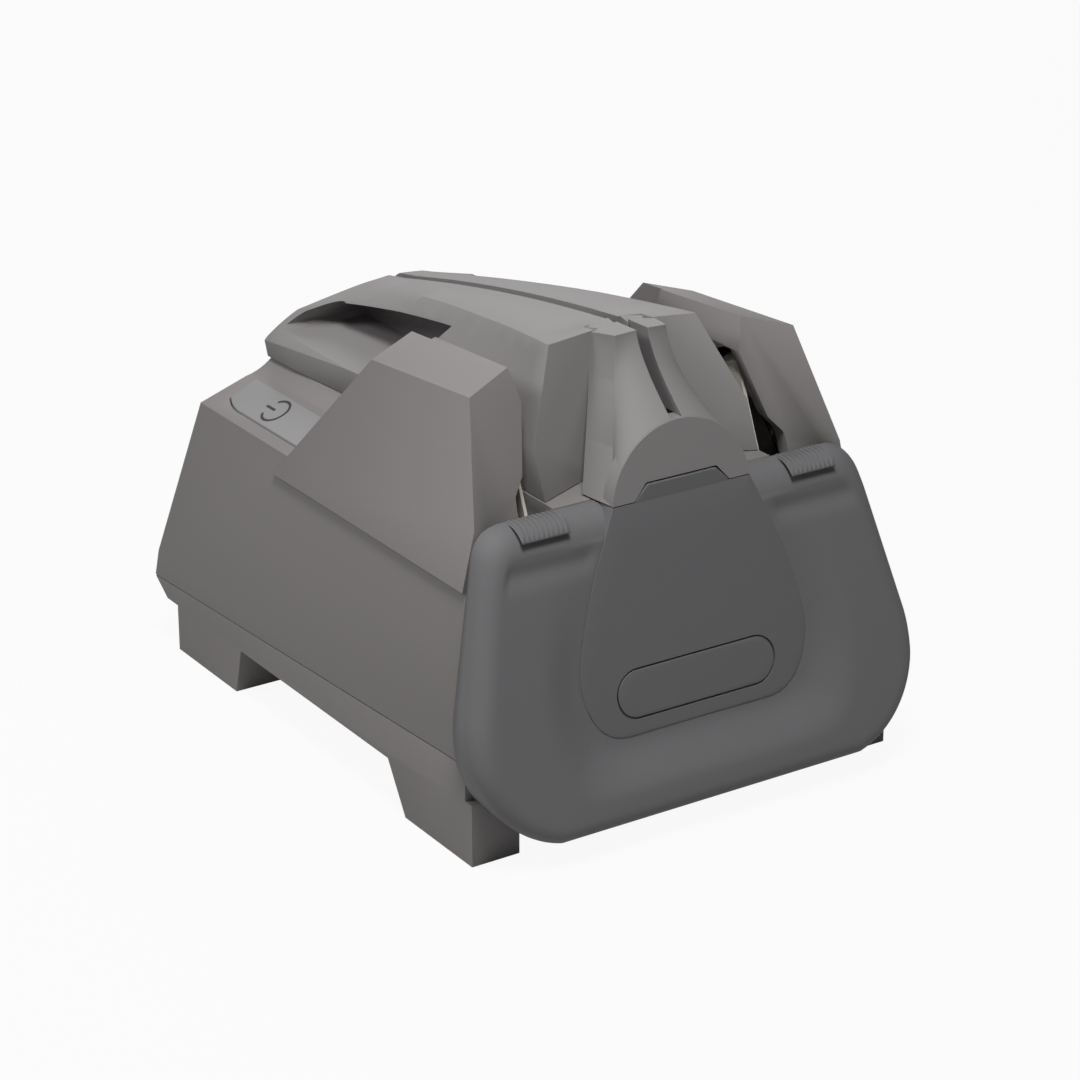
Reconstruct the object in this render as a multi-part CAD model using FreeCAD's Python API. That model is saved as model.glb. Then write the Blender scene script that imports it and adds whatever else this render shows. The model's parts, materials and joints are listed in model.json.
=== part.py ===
"""Electric knife sharpener with a lift-off knife guide, a pull-off belt cover and two abrasive belts.

Millimetres, +Z up, the cover faces -Y. The origin is the middle of the footprint on the surface it
stands on. The left and right halves mirror each other, apart from the power button on the left deck.
The belt drive is drawn upright and then leaned back as one unit, parallel to the wings' front faces.
"""
import FreeCAD
import Part
import math
import os

from FreeCAD import Vector, Rotation, Placement

# Housing, from the surface upwards
foot_half_width = 74.0
foot_width = 16.0
foot_inner_half_width = foot_half_width - foot_width
foot_front_y = -87.5
foot_front_length = 36.5
foot_rear_y = 90.0
foot_rear_length = 38.5
foot_slant = 12.0
foot_pad_height = 2.0
arch_height = 15.4
seam_front_z = 30.5
seam_rear_z = 21.0
seam_gap = 0.4
base_front_y = -84.0
rear_seam_y = 104.8
base_rear_step_y = 97.0
rear_lean = 0.315
side_draft = 0.158
front_lean = 0.155
wall = 2.6
floor_wall = 2.6
ledge_z = 96.7

# Decks behind the wings, with a cove that rises to the knife guide's seat
deck_outer_z = 84.8
deck_rise = 0.42
deck_inner_half_width = 50.0
cove_half_width = 43.6
seat_z = 96.7
seat_half_width = 41.5

# Wings, each a leaning tower beside a knife slot
wing_front_y = -73.4
wing_front_lean = 0.38
wing_front_sweep = 0.2077
wing_draft = 0.2307
wing_outer_half_width = 63.6
wing_crest_z = 129.2
wing_crest_half_width = 55.9
wing_crest_y = -59.5
wing_top_rise = 0.30
wing_top_fall = 0.0731
wing_slope_foot_y = 29.3
wing_slope_foot_z = 84.7
wing_slope_foot_half_width = 64.8
wing_slope_rise = 0.512
wing_slope_fall = 0.983
wing_inner_top = (41.4, 137.0)
wing_kink = (37.9, 123.8)
wing_lower_kink = (42.8, 105.2)
wing_shoulder = (46.8, 100.4)
wing_inner_base = 47.2
wing_notch_y = -15.0
wing_notch_depth = 3.2
wing_notch_z = 118.0
slot_floor_z = 86.0
slot_inner_half_width = 37.7
slot_rear_y = 26.0

# Knife guide that lifts off between the wings
guide_front_lean = 0.42
guide_front_y = -70.6
guide_bottom_z = 97.0
guide_shoulder_y = -54.0
guide_mid = (13.0, 130.4)
guide_crown = (66.0, 119.7)
guide_bend = (79.5, 114.6)
guide_rear = (83.2, 107.0)
guide_base_rear_y = 79.6
guide_wall = 2.6
guide_front_wall = 8.0
guide_plate_gap = 0.3
guide_plate_thickness = 2.0
guide_roof_fall = 0.1
guide_ridge_z = 139.3

# Knife guide's side at stations along Y: the side's top, its shoulder and the bend above its skirt, as (x, z)
guide_stations = (
    (-75.0, (24.4, 139.0), (31.4, 123.7), (37.2, 111.0)),
    (-51.5, (24.4, 139.0), (31.4, 123.7), (37.2, 111.0)),
    (-10.0, (18.4, 134.9), (28.9, 121.2), (37.2, 110.0)),
    (12.0, (15.6, 130.9), (27.8, 118.5), (37.2, 107.8)),
    (36.0, (12.3, 126.6), (27.5, 115.5), (40.2, 105.5)),
    (66.0, (9.4, 119.6), (30.0, 112.6), (42.6, 103.5)),
    (90.0, (4.5, 115.3), (34.0, 109.5), (43.2, 101.0)),
)
hone_slot_width = 3.9
hone_slot_rear_y = 80.0
hone_slot_rise_y = 20.0
hone_slot_rear_z = 113.0
hone_slot_floor_z = 104.0
nose_top_half_width = 9.6
nose_half_width = 24.2
nose_front_top_y = -62.0
nose_top_z = 139.6
dome_half_width = 23.9
dome_top_z = 118.0
dome_front_y = -83.2
dome_lean = 0.13
dome_depth = 16.0
recess_front_y = 3.4
recess_front_z = 125.6
recess_rear_y = 79.0
recess_middle = (36.0, 120.3)
recess_shoulder = (66.0, 115.0)
recess_bend = (74.8, 112.2)
recess_floor_z = 105.5
recess_inner_half_width = 9.0
hone_rod_radius = 1.6
hone_rod_length = 26.0
hone_rod_tilt = 20.0
hone_rod_y = -40.0
hone_rod_gap = 0.4
hone_rod_rise = 13.0
guide_lug_width = 8.0
guide_lug_length = 14.0
guide_lug_height = 7.0
guide_lug_y = (-30.0, 50.0)

# Belt cover on the front
cover_top_half_width = 64.4
cover_shoulder_z = 46.0
cover_shoulder_half_width = 76.3
cover_side_half_width = 77.2
cover_side_z = 37.0
cover_corner = (71.2, 19.4)
cover_bottom_half_width = 53.0
cover_bottom_z = 7.4
cover_front_y = -83.5
cover_front_z = 90.0
cover_front_lean = 0.264
cover_nose_radius = 7.5
cover_wall = 2.4
cover_gap = 0.4
panel_top_y = -83.1
panel_lean = 0.165
panel_points = ((23.9, 97.3), (34.9, 71.9), (41.0, 47.0), (33.0, 30.5))
band_width = 11.0
dish_top_z = 80.0
tab_half_width = 16.2
tab_top_half_width = 11.9
tab_height = 4.6
grip_count = 10
grip_pitch = 1.6
grip_height = 0.8
grip_width = 0.8
grip_length = 9.5
grip_centre = 46.5
label_half_length = 28.0
label_radius = 7.6
label_z = 42.4
label_recess = 0.5

# Power button on the left deck
button_inner_half_width = 49.4
button_outer_half_width = 61.4
button_front_y = 31.0
button_rear_y = 77.5
button_gap = 0.4
button_rise = 0.4
button_plate = 3.0
button_travel = 1.6
button_stem_radius = 2.2
button_stem_length = 7.0
button_spring_wire = 0.4
button_spring_turns = 5
button_corner = 13.0

# Belt drive, before it is leaned back
drive_lean = 23.0
drive_origin_y = -70.0
belt_width = 12.7
belt_depth = 6.5
belt_thickness = 1.0
belt_running_gap = 0.3
belt_inner_half_width = 40.4
idler_radius = 6.5
idler_z = 22.2
wheel_radius = 11.5
wheel_z = -52.5
hub_radius = 8.0
timing_width = 6.0
timing_depth = 21.5
timing_thickness = 1.4
pulley_radius = 5.0
motor_z = -30.0
motor_radius = 18.0
motor_length = 46.0
motor_wall = 1.6
magnet_thickness = 3.6
armature_radius = 11.6
armature_length = 26.0
commutator_radius = 5.0
commutator_length = 7.0
magnet_start = 6.0
armature_start = 8.0
rotor_slots = 5
slot_radius = 1.6
end_bell_thickness = 3.0
spigot_length = 4.0
brush_half_height = 2.0
brush_gap = 0.3
shaft_radius = 1.6
running_clearance = 0.05
plate_depth = 29.0
plate_thickness = 3.0
plate_half_width = 58.5
plate_bottom_z = -62.0
plate_top_z = -12.0
plate_corner = 14.0
post_x = 40.0
post_y = -40.0
post_width = 8.0
post_length = 20.0
post_top_z = 70.0
bearing_radius = 5.0
bearing_length = 4.0
axle_radius = 2.5
arm_thickness = 3.0
arm_depth = 21.0
arm_pivot_z = -6.0
arm_width = 9.0
arm_offset = 6.0
bracket_half_width = 4.0
pivot_radius = 2.5
idler_pin_radius = 2.0
spring_wire_radius = 0.45
spring_radius = 2.5
spring_turns = 3
spring_length = 3.4
spring_seat_x = 3.4
spring_seat_z = 9.5

# Electrics and fasteners
board_length = 44.0
board_width = 15.0
board_thickness = 1.6
switch_size = 6.0
switch_height = 4.0
capacitor_radius = 5.0
capacitor_length = 6.0
capacitor_offset = -14.0
switch_body_height = 3.0
switch_key_radius = 1.7
board_post_radius = 2.5
board_post_inset = 4.0
inlet_radius = 7.0
inlet_bore_radius = 3.2
inlet_z = 34.0
inlet_flange = 1.6
inlet_length = 9.0
inlet_outer_length = 2.4
screw_radius = 1.5
screw_head_radius = 2.9
screw_head_height = 2.0
screw_length = 12.0
boss_radius = 4.0
screw_inset = 9.0
screw_x = foot_half_width - screw_inset
screw_y = (-57.0, 71.0)
screw_slot_half_length = 1.7
screw_slot_half_width = 0.4
vent_count = 7
vent_pitch = 9.0
vent_width = 3.0
vent_front_y = 20.0
vent_rear_y = 52.0

drive_base = Vector(0.0, drive_origin_y, ledge_z)
drive_place = Placement(drive_base, Rotation(Vector(1, 0, 0), -drive_lean))
FAR = 400.0


def prism(points, axis, low, high):
    """Extrude a closed polygon along X, Y or Z. Points are the two other coordinates in X, Y, Z order."""
    if axis == "X":
        corners = [Vector(low, a, b) for a, b in points]
        direction = Vector(high - low, 0, 0)
    elif axis == "Y":
        corners = [Vector(a, low, b) for a, b in points]
        direction = Vector(0, high - low, 0)
    else:
        corners = [Vector(a, b, low) for a, b in points]
        direction = Vector(0, 0, high - low)
    return Part.Face(Part.makePolygon(corners + [corners[0]])).extrude(direction)


def box(low, high):
    """Make an axis-aligned block between two corners."""
    size = [b - a for a, b in zip(low, high)]
    return Part.makeBox(size[0], size[1], size[2], Vector(*low))


def half_space(point, normal):
    """Make a block that fills the side of a plane that its normal points to."""
    return Part.makeCylinder(FAR, FAR, Vector(*point), Vector(*normal))


def cylinder_y(radius, x, z, low, high):
    """Make a round bar along Y."""
    return Part.makeCylinder(radius, high - low, Vector(x, low, z), Vector(0, 1, 0))


def tube_y(outer, inner, x, z, low, high):
    """Make a round sleeve along Y."""
    return cylinder_y(outer, x, z, low, high).cut(cylinder_y(inner, x, z, low - 1, high + 1))


def mirrored(shape):
    """Reflect a shape to the other side of the middle plane."""
    return shape.mirror(Vector(0, 0, 0), Vector(1, 0, 0))


def both_sides(shape):
    """Join a shape with its reflection."""
    return shape.fuse(mirrored(shape))


def leaned(shape):
    """Lean an upright drive piece back into its place."""
    copy = shape.copy()
    copy.Placement = drive_place.multiply(copy.Placement)
    return copy


def save(name, *solids):
    """Write one named node."""
    shape = solids[0] if len(solids) == 1 else Part.makeCompound(list(solids))
    shape.exportStep("parts/" + name + ".step")
    return shape


def side_x(z, inset=0.0):
    """Half width of the housing's drafted side wall at a height."""
    return foot_half_width - side_draft * max(z - seam_front_z, 0.0) - inset


def seam_z(y):
    """Height of the sloping seam between the two housings."""
    share = (y - base_front_y) / (rear_seam_y - base_front_y)
    return seam_front_z + share * (seam_rear_z - seam_front_z)


def rear_y(z):
    """Depth of the rear wall, which leans forward as it rises."""
    return rear_seam_y - rear_lean * (z - seam_rear_z)


def front_y(z):
    """Depth of the housing's front edge, which leans back as it rises."""
    return base_front_y + front_lean * (z - seam_front_z)


def body_side_profile(inset, seam_offset, top):
    """Side view of the upper housing below the wings."""
    low_front_z = seam_z(base_front_y) + seam_offset
    low_rear_z = seam_z(rear_seam_y) + seam_offset
    points = [(front_y(low_front_z) + inset, low_front_z)]
    points.append((rear_y(low_rear_z) - inset, low_rear_z))
    points.append((rear_y(top) - inset, top))
    points.append((front_y(top) + inset, top))
    return points


def body_cross_section(inset, drop):
    """Front view of the upper housing below the wings, with the decks and the coves."""
    outer_z = deck_outer_z - drop
    inner_z = deck_outer_z + deck_rise * (side_x(deck_outer_z) - deck_inner_half_width) - drop
    top_z = seat_z - drop
    corners = [Vector(side_x(0) - inset, 0, 0)]
    corners.append(Vector(side_x(seam_front_z) - inset, 0, seam_front_z))
    corners.append(Vector(side_x(outer_z) - inset, 0, outer_z))
    corners.append(Vector(deck_inner_half_width, 0, inner_z))
    edges = [Part.makeLine(a, b) for a, b in zip(corners, corners[1:])]
    cove_middle = Vector(cove_half_width + 0.8, 0, (inner_z + top_z) / 2 - 0.2)
    cove_end = Vector(seat_half_width, 0, top_z)
    edges.append(Part.Arc(corners[-1], cove_middle, cove_end).toShape())
    centre_top = Vector(0, 0, top_z)
    centre_base = Vector(0, 0, 0)
    edges.append(Part.makeLine(cove_end, centre_top))
    edges.append(Part.makeLine(centre_top, centre_base))
    edges.append(Part.makeLine(centre_base, corners[0]))
    half = Part.Face(Part.Wire(edges)).extrude(Vector(0, 2 * FAR, 0))
    half.translate(Vector(0, -FAR, 0))
    return both_sides(half).removeSplitter()


def lower_body(inset, drop, seam_offset):
    """Upper housing's box part, or its cavity when the inset is a wall."""
    side = prism(body_side_profile(inset, seam_offset, ledge_z), "X", -FAR, FAR)
    return side.common(body_cross_section(inset, drop))


def wing(inset):
    """Right wing as a solid, or its cavity when the inset is a wall."""
    base_z = slot_floor_z - 8.0
    outer_base = wing_outer_half_width + wing_draft * (ledge_z - base_z)
    outer_top = wing_outer_half_width - wing_draft * (wing_inner_top[1] - ledge_z)
    section = [(outer_base - inset, base_z), (outer_top - inset, wing_inner_top[1])]
    section.append((wing_inner_top[0] + inset, wing_inner_top[1]))
    section.append((wing_kink[0] + inset, wing_kink[1]))
    section.append((wing_lower_kink[0] + inset, wing_lower_kink[1]))
    section.append((wing_shoulder[0] + inset, wing_shoulder[1]))
    section.append((wing_inner_base + inset, ledge_z))
    section.append((wing_inner_base + inset, base_z))
    solid = prism(section, "Y", front_y(ledge_z), wing_slope_foot_y + 10)
    front_normal = Vector(-wing_front_sweep, -1.0, wing_front_lean)
    front_normal.normalize()
    front_point = Vector(wing_outer_half_width, wing_front_y, ledge_z) - front_normal * inset
    top_normal = Vector(wing_top_rise, wing_top_fall, 1.0)
    top_normal.normalize()
    top_point = Vector(wing_crest_half_width, wing_crest_y, wing_crest_z) - top_normal * inset
    rear_normal = Vector(wing_slope_rise, wing_slope_fall, 1.0)
    rear_normal.normalize()
    rear_point = Vector(wing_slope_foot_half_width, wing_slope_foot_y, wing_slope_foot_z)
    rear_point = rear_point - rear_normal * inset
    solid = solid.cut(half_space(top_point, top_normal))
    solid = solid.cut(half_space(rear_point, rear_normal))
    upper_front = half_space(front_point, front_normal)
    upper_front = upper_front.common(box((0, -FAR, ledge_z - FAR), (FAR, FAR, FAR)))
    solid = solid.cut(upper_front)
    notch_low = (wing_kink[0] - 5, wing_notch_y - inset, wing_notch_z - inset)
    notch_high = (wing_kink[0] + wing_notch_depth + inset, FAR, FAR)
    return solid.cut(box(notch_low, notch_high))


def drive_opening():
    """Opening in the housing's front through which the drive and the belts are reached."""
    edge = wall + 0.8
    points = [(-side_x(seam_front_z) + edge, seam_front_z - FAR)]
    points.append((side_x(seam_front_z) - edge, seam_front_z - FAR))
    points.append((side_x(seam_front_z) - edge, seam_front_z))
    points.append((side_x(ledge_z) - edge, ledge_z - edge))
    points.append((-side_x(ledge_z) + edge, ledge_z - edge))
    points.append((-side_x(seam_front_z) + edge, seam_front_z))
    return prism(points, "Y", base_front_y - 20, base_front_y + 16)


def belt_window():
    """Gap that a leaning belt runs through in the slot floor and the wing's inner face."""
    low_x = belt_inner_half_width - 2.4
    high_x = wing_inner_base + 6.0
    low_y = belt_depth - 1.5
    high_y = arm_depth + arm_thickness + 1.0
    window = box((low_x, low_y, -26.0), (high_x, high_y, idler_z + idler_radius + 3.5))
    return leaned(window)


def button_outline(gap, lift):
    """Plan of the power button: straight front and sides, and a rounded rear outer corner."""
    inner = -button_inner_half_width + gap
    outer = -button_outer_half_width - gap
    front = button_front_y - gap
    rear = button_rear_y + gap
    a = Vector(inner, front, lift)
    b = Vector(inner, rear, lift)
    c = Vector(outer + 2.5, rear - 1.0, lift)
    d = Vector(outer, rear - button_corner, lift)
    e = Vector(outer, front, lift)
    middle = Vector(outer + 0.6, rear - 6.0, lift)
    edges = [Part.makeLine(a, b), Part.makeLine(b, c), Part.Arc(c, middle, d).toShape()]
    edges.append(Part.makeLine(d, e))
    edges.append(Part.makeLine(e, a))
    return Part.Face(Part.Wire(edges))


def deck_surface(z_offset):
    """Space above the left deck's sloping surface, moved up or down by an offset."""
    point = Vector(-side_x(deck_outer_z), 0, deck_outer_z + z_offset)
    return half_space(point, (-deck_rise, 0, 1))


def button_cap():
    """Power button: a plate that follows the deck's slope, with a stem that reaches the switch."""
    plate = button_outline(0.0, deck_outer_z - 10).extrude(Vector(0, 0, 40))
    plate = plate.cut(deck_surface(button_rise))
    plate = plate.common(deck_surface(button_rise - button_plate))
    stem_top = button_centre_z() - button_plate / 2
    stem = Part.makeCylinder(button_stem_radius, stem_top - stem_base_z(), button_centre(stem_base_z()))
    return plate.fuse(stem)


def button_centre(z):
    """Point under the middle of the button at a height."""
    x = -(button_inner_half_width + button_outer_half_width) / 2
    return Vector(x, (button_front_y + button_rear_y) / 2, z)


def button_centre_z():
    """Height of the button's face at its middle."""
    return deck_outer_z + button_rise + deck_rise * (side_x(deck_outer_z) + button_centre(0).x)


def stem_base_z():
    """Lower end of the button's stem, a travel and a little play above the switch."""
    return button_centre_z() - button_plate - button_stem_length


def upper_housing():
    """Upper housing shell with both wings, the decks, the guide's seat and the inner bosses."""
    outer = lower_body(0.0, 0.0, seam_gap / 2).fuse(both_sides(wing(0.0)))
    slot = box((slot_inner_half_width, front_y(0) - 10, slot_floor_z), (wing_inner_base, slot_rear_y, FAR))
    outer = outer.cut(both_sides(slot.cut(wing(0.0))))
    cavity = lower_body(wall, wall, -5.0).fuse(both_sides(wing(wall)))
    slot_duct = box((slot_inner_half_width - wall, front_y(0) - 10, slot_floor_z - wall),
                    (wing_inner_base + wall, slot_rear_y + wall, FAR))
    cavity = cavity.cut(both_sides(slot_duct.cut(wing(wall))))
    shell = outer.cut(cavity).cut(drive_opening()).cut(both_sides(belt_window()))
    hole = button_outline(button_gap, 0).extrude(Vector(0, 0, FAR))
    shell = shell.cut(hole.common(box((-FAR, -FAR, deck_outer_z - 8), (0, FAR, FAR))))
    for x in (-screw_x, screw_x):
        for y in screw_y:
            shell = shell.fuse(housing_boss(x, y))
    shell = shell.cut(inlet_hole())
    for y in guide_lug_y:
        pocket = guide_lug(y, cover_gap)
        shell = shell.cut(pocket)
    return shell.removeSplitter()


def housing_boss(x, y):
    """Screw boss that hangs in the upper housing and takes a base screw."""
    low = seam_z(y) + seam_gap / 2
    boss = Part.makeCylinder(boss_radius, 22.0, Vector(x, y, low))
    rib = box((min(x, x * 1.12), y - 1.2, low), (max(x, x * 1.12), y + 1.2, low + 20.0))
    keep = lower_body(0.2, 0.2, seam_gap / 2)
    boss = boss.fuse(rib).common(keep)
    return boss.cut(Part.makeCylinder(screw_radius, 12.0, Vector(x, y, low - 1)))


def inlet_placed(shape):
    """Move an inlet piece drawn along +Y from the origin onto the leaning rear wall."""
    lean = math.degrees(math.atan(rear_lean))
    place = Placement(Vector(0, rear_y(inlet_z), inlet_z), Rotation(Vector(1, 0, 0), lean))
    shape.Placement = place.multiply(shape.Placement)
    return shape


def inlet_hole():
    """Hole for the cord bushing in the rear wall."""
    return inlet_placed(cylinder_y(inlet_radius + 0.2, 0, 0, -20, 20))


def inlet_bushing():
    """Cord inlet bushing, a flanged sleeve through the rear wall. The cord itself is left out."""
    body = cylinder_y(inlet_radius, 0, 0, -inlet_length, inlet_outer_length)
    flange = cylinder_y(inlet_radius + 2.5, 0, 0, 0.0, inlet_flange)
    nut = cylinder_y(inlet_radius + 2.5, 0, 0, -inlet_length, -wall - 0.3)
    bore = cylinder_y(inlet_bore_radius, 0, 0, -30, 30)
    return inlet_placed(body.fuse(flange).fuse(nut).cut(bore))


def foot(y_low, y_high, slant_low, slant_high):
    """Right foot of the base, hollow from below and slanted towards the arch."""
    profile = [(y_low, 0.0), (y_high, 0.0), (y_high + slant_high, arch_height + 4)]
    profile.append((y_low - slant_low, arch_height + 4))
    outer = prism(profile, "X", foot_inner_half_width, foot_half_width)
    inner = [(y_low + wall, -1.0), (y_high - wall, -1.0)]
    inner += [(y_high - wall, foot_pad_height), (y_low + wall, foot_pad_height)]
    pad_seat = prism(inner, "X", foot_inner_half_width + wall, foot_half_width - wall)
    return outer.cut(pad_seat)


def foot_pad(y_low, y_high):
    """Rubber pad set into a foot, level with the foot's rim."""
    low = (foot_inner_half_width + wall, y_low + wall, 0.0)
    high = (foot_half_width - wall, y_high - wall, foot_pad_height)
    return box(low, high)


def foot_spans():
    """Front and rear feet as depth limits with their slants."""
    front = (foot_front_y, foot_front_y + foot_front_length, 0.0, foot_slant)
    rear = (foot_rear_y - foot_rear_length, foot_rear_y, foot_slant * 0.4, 0.0)
    return (front, rear)


def lower_housing():
    """Base tray with four feet, arches between them, vent slots and screw holes."""
    rim = [(base_front_y, arch_height), (base_rear_step_y, arch_height)]
    rim.append((rear_seam_y, seam_z(rear_seam_y) - seam_gap / 2))
    rim.append((base_front_y, seam_z(base_front_y) - seam_gap / 2))
    tray = prism(rim, "X", -foot_half_width, foot_half_width)
    floor_top = arch_height + floor_wall
    inner = [(base_front_y + wall, floor_top), (base_rear_step_y - wall, floor_top)]
    inner.append((rear_seam_y - wall - 1.5, FAR / 4))
    inner.append((base_front_y + wall, FAR / 4))
    tray = tray.cut(prism(inner, "X", -foot_half_width + wall, foot_half_width - wall))
    for span in foot_spans():
        tray = tray.fuse(both_sides(foot(*span)))
    for x in (-screw_x, screw_x):
        for y in screw_y:
            tray = tray.fuse(base_boss(x, y)).cut(base_screw_hole(x, y))
    for index in range(vent_count):
        x = (index - (vent_count - 1) / 2) * vent_pitch
        low = (x - vent_width / 2, vent_front_y, 0)
        tray = tray.cut(box(low, (x + vent_width / 2, vent_rear_y, arch_height + floor_wall + 1)))
    tray = tray.cut(base_front_notch())
    return tray.removeSplitter()


def base_front_notch():
    """Room in the base's front edge for the drive wheels' lower ends."""
    low = (-foot_half_width + 12.0, base_front_y - 5, arch_height + floor_wall + 4)
    return box(low, (foot_half_width - 12.0, base_front_y + wall + 1, FAR))


def base_boss(x, y):
    """Boss in the tray, which meets the upper housing's boss at the seam."""
    top = seam_z(y) - seam_gap / 2
    return Part.makeCylinder(boss_radius, top - arch_height, Vector(x, y, arch_height))


def base_screw_hole(x, y):
    """Stepped hole for a base screw, entered from below through the foot."""
    hole = Part.makeCylinder(screw_radius + 0.3, FAR, Vector(x, y, -10))
    head = Part.makeCylinder(screw_head_radius + 0.4, arch_height + 10, Vector(x, y, -10))
    return hole.fuse(head)


def base_screw(x, y):
    """Base screw with a round head and a cross recess."""
    head_base = Vector(x, y, arch_height - screw_head_height)
    head = Part.makeCylinder(screw_head_radius, screw_head_height, head_base)
    shank = Part.makeCylinder(screw_radius, screw_length + seam_gap, Vector(x, y, arch_height))
    screw = head.fuse(shank)
    for turn in (0, 90):
        blade = box((-screw_slot_half_length, -screw_slot_half_width, -1.0),
                    (screw_slot_half_length, screw_slot_half_width, 1.0))
        blade.rotate(Vector(0, 0, 0), Vector(0, 0, 1), turn)
        blade.translate(head_base)
        screw = screw.cut(blade)
    return screw


def guide_top_profile(drop, low_z):
    """Crowned roof that falls to both sides and rounds off at the rear, down to a level."""
    front_top = guide_front_y + guide_front_lean * (guide_ridge_z - guide_bottom_z)
    start = Vector(0, front_top + drop, guide_ridge_z - drop)
    mid = Vector(0, guide_mid[0], guide_mid[1] - drop)
    crown = Vector(0, guide_crown[0], guide_crown[1] - drop)
    bend = Vector(0, guide_bend[0] - drop * 0.7, guide_bend[1] - drop * 0.8)
    rear = Vector(0, guide_rear[0] - drop, guide_rear[1])
    rear_base = Vector(0, guide_base_rear_y - drop, low_z)
    front_base = Vector(0, guide_front_y + guide_front_lean * (low_z - guide_bottom_z) + drop, low_z)
    edges = [Part.Arc(start, mid, crown).toShape()]
    edges.append(Part.Arc(crown, bend, rear).toShape())
    edges.append(Part.makeLine(rear, rear_base))
    edges.append(Part.makeLine(rear_base, front_base))
    edges.append(Part.makeLine(front_base, start))
    half = Part.Face(Part.Wire(edges)).extrude(Vector(FAR / 4, 0, -guide_roof_fall * FAR / 4))
    return both_sides(half)


def guide_section(station, inset, low_z):
    """Front view of the guide's sides at one station, as a closed outline."""
    y, top, shoulder, bend = station
    points = [(top[0] - inset, top[1] - inset), (shoulder[0] - inset, shoulder[1] - inset)]
    points += [(bend[0] - inset, bend[1] - inset / 2), (bend[0] - inset, low_z)]
    points += [(-x, z) for x, z in reversed(points)]
    corners = [Vector(x, y, z) for x, z in points]
    return Part.makePolygon(corners + [corners[0]])


def guide_block(inset, low_z):
    """Guide's outer block: a handle that narrows to the rear over a skirt that widens behind the wings."""
    sides = Part.makeLoft([guide_section(station, inset, low_z) for station in guide_stations], True, True)
    return sides.common(guide_top_profile(inset, low_z))


def nose(low_z):
    """Nose that stands forward between the pillars and narrows towards the top."""
    dome_top_y = dome_front_y + dome_lean * (dome_top_z - guide_bottom_z)
    rear = guide_shoulder_y + 6.0
    profile = [(dome_front_y, low_z), (dome_top_y + 1.5, dome_top_z - 4.0)]
    profile += [(nose_front_top_y, nose_top_z), (rear, guide_ridge_z - 0.3), (rear, low_z)]
    side = prism(profile, "X", -FAR, FAR)
    front = [(-nose_half_width, low_z), (nose_half_width, low_z)]
    front += [(nose_top_half_width, nose_top_z), (-nose_top_half_width, nose_top_z)]
    return side.common(prism(front, "Y", -FAR, FAR))


def dome(low_z):
    """Flat-faced arch at the foot of the nose."""
    rise = dome_top_z - guide_bottom_z
    a = Vector(-dome_half_width, -FAR / 4, low_z)
    b = Vector(dome_half_width, -FAR / 4, low_z)
    c = Vector(0, -FAR / 4, dome_top_z)
    arch = Part.Face(Part.Wire([Part.Arc(a, c, b).toShape(), Part.makeLine(b, a)]))
    solid = arch.extrude(Vector(0, FAR / 2, 0))
    low = dome_front_y
    high = low + dome_lean * rise
    lean = [(low, low_z), (high, dome_top_z)]
    lean += [(high + dome_depth, dome_top_z), (low + dome_depth + dome_lean * rise, low_z)]
    return solid.common(prism(lean, "X", -FAR, FAR))


def handle_recess():
    """Finger recess in the guide's right side, under the thin top grip."""
    a = Vector(0, recess_front_y, recess_front_z)
    b = Vector(0, *recess_shoulder)
    c = Vector(0, recess_rear_y, recess_floor_z + 1.5)
    d = Vector(0, recess_rear_y - 1.5, recess_floor_z)
    e = Vector(0, recess_front_y + 5.0, recess_floor_z)
    f = Vector(0, recess_front_y + 2.6, recess_front_z - 3.8)
    middle = Vector(0, *recess_middle)
    bend = Vector(0, *recess_bend)
    edges = [Part.Arc(a, middle, b).toShape(), Part.Arc(b, bend, c).toShape()]
    edges += [Part.makeLine(p, q) for p, q in ((c, d), (d, e), (e, f), (f, a))]
    pocket = Part.Face(Part.Wire(edges)).extrude(Vector(FAR / 4, 0, 0))
    pocket.translate(Vector(recess_inner_half_width, 0, 0))
    return pocket


def recess_keep():
    """Space beside the guide's cavity that stays solid round the right finger recess."""
    low = (recess_inner_half_width - guide_wall, recess_front_y - guide_wall, recess_floor_z - guide_wall)
    return box(low, (FAR, FAR, FAR))


def knife_guide():
    """Knife guide shell with its pillars, nose, honing slot and finger recesses."""
    solid = guide_block(0.0, guide_bottom_z).fuse(nose(guide_bottom_z)).fuse(dome(guide_bottom_z))
    solid = solid.cut(both_sides(handle_recess()))
    cavity = guide_block(guide_wall, guide_bottom_z - 1)
    cavity = cavity.common(box((-FAR, guide_shoulder_y + guide_front_wall, 0), (FAR, FAR, FAR)))
    cavity = cavity.cut(both_sides(recess_keep()))
    slot_half = hone_slot_width / 2 + guide_wall
    slot_walls = box((-slot_half, -FAR, hone_slot_floor_z - guide_wall),
                     (slot_half, hone_slot_rear_y + guide_wall, FAR))
    solid = solid.cut(cavity.cut(slot_walls))
    solid = solid.cut(hone_slot()).cut(hone_rod(-1)).cut(hone_rod(1))
    tab = prism(tab_points(cover_gap), "Y", -FAR, dome_front_y + cover_wall + cover_gap)
    return solid.cut(tab).removeSplitter()


def hone_slot():
    """Honing slot along the middle, open at the front and the top."""
    half = hone_slot_width / 2
    depth_front = dome_top_z - 1.0
    profile = [(-FAR / 4, depth_front), (guide_shoulder_y, hone_slot_floor_z)]
    profile.append((hone_slot_rise_y, hone_slot_floor_z))
    profile.append((hone_slot_rear_y, hone_slot_rear_z))
    profile.append((hone_slot_rear_y, FAR))
    profile.append((-FAR / 4, FAR))
    return prism(profile, "X", -half, half)


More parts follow.
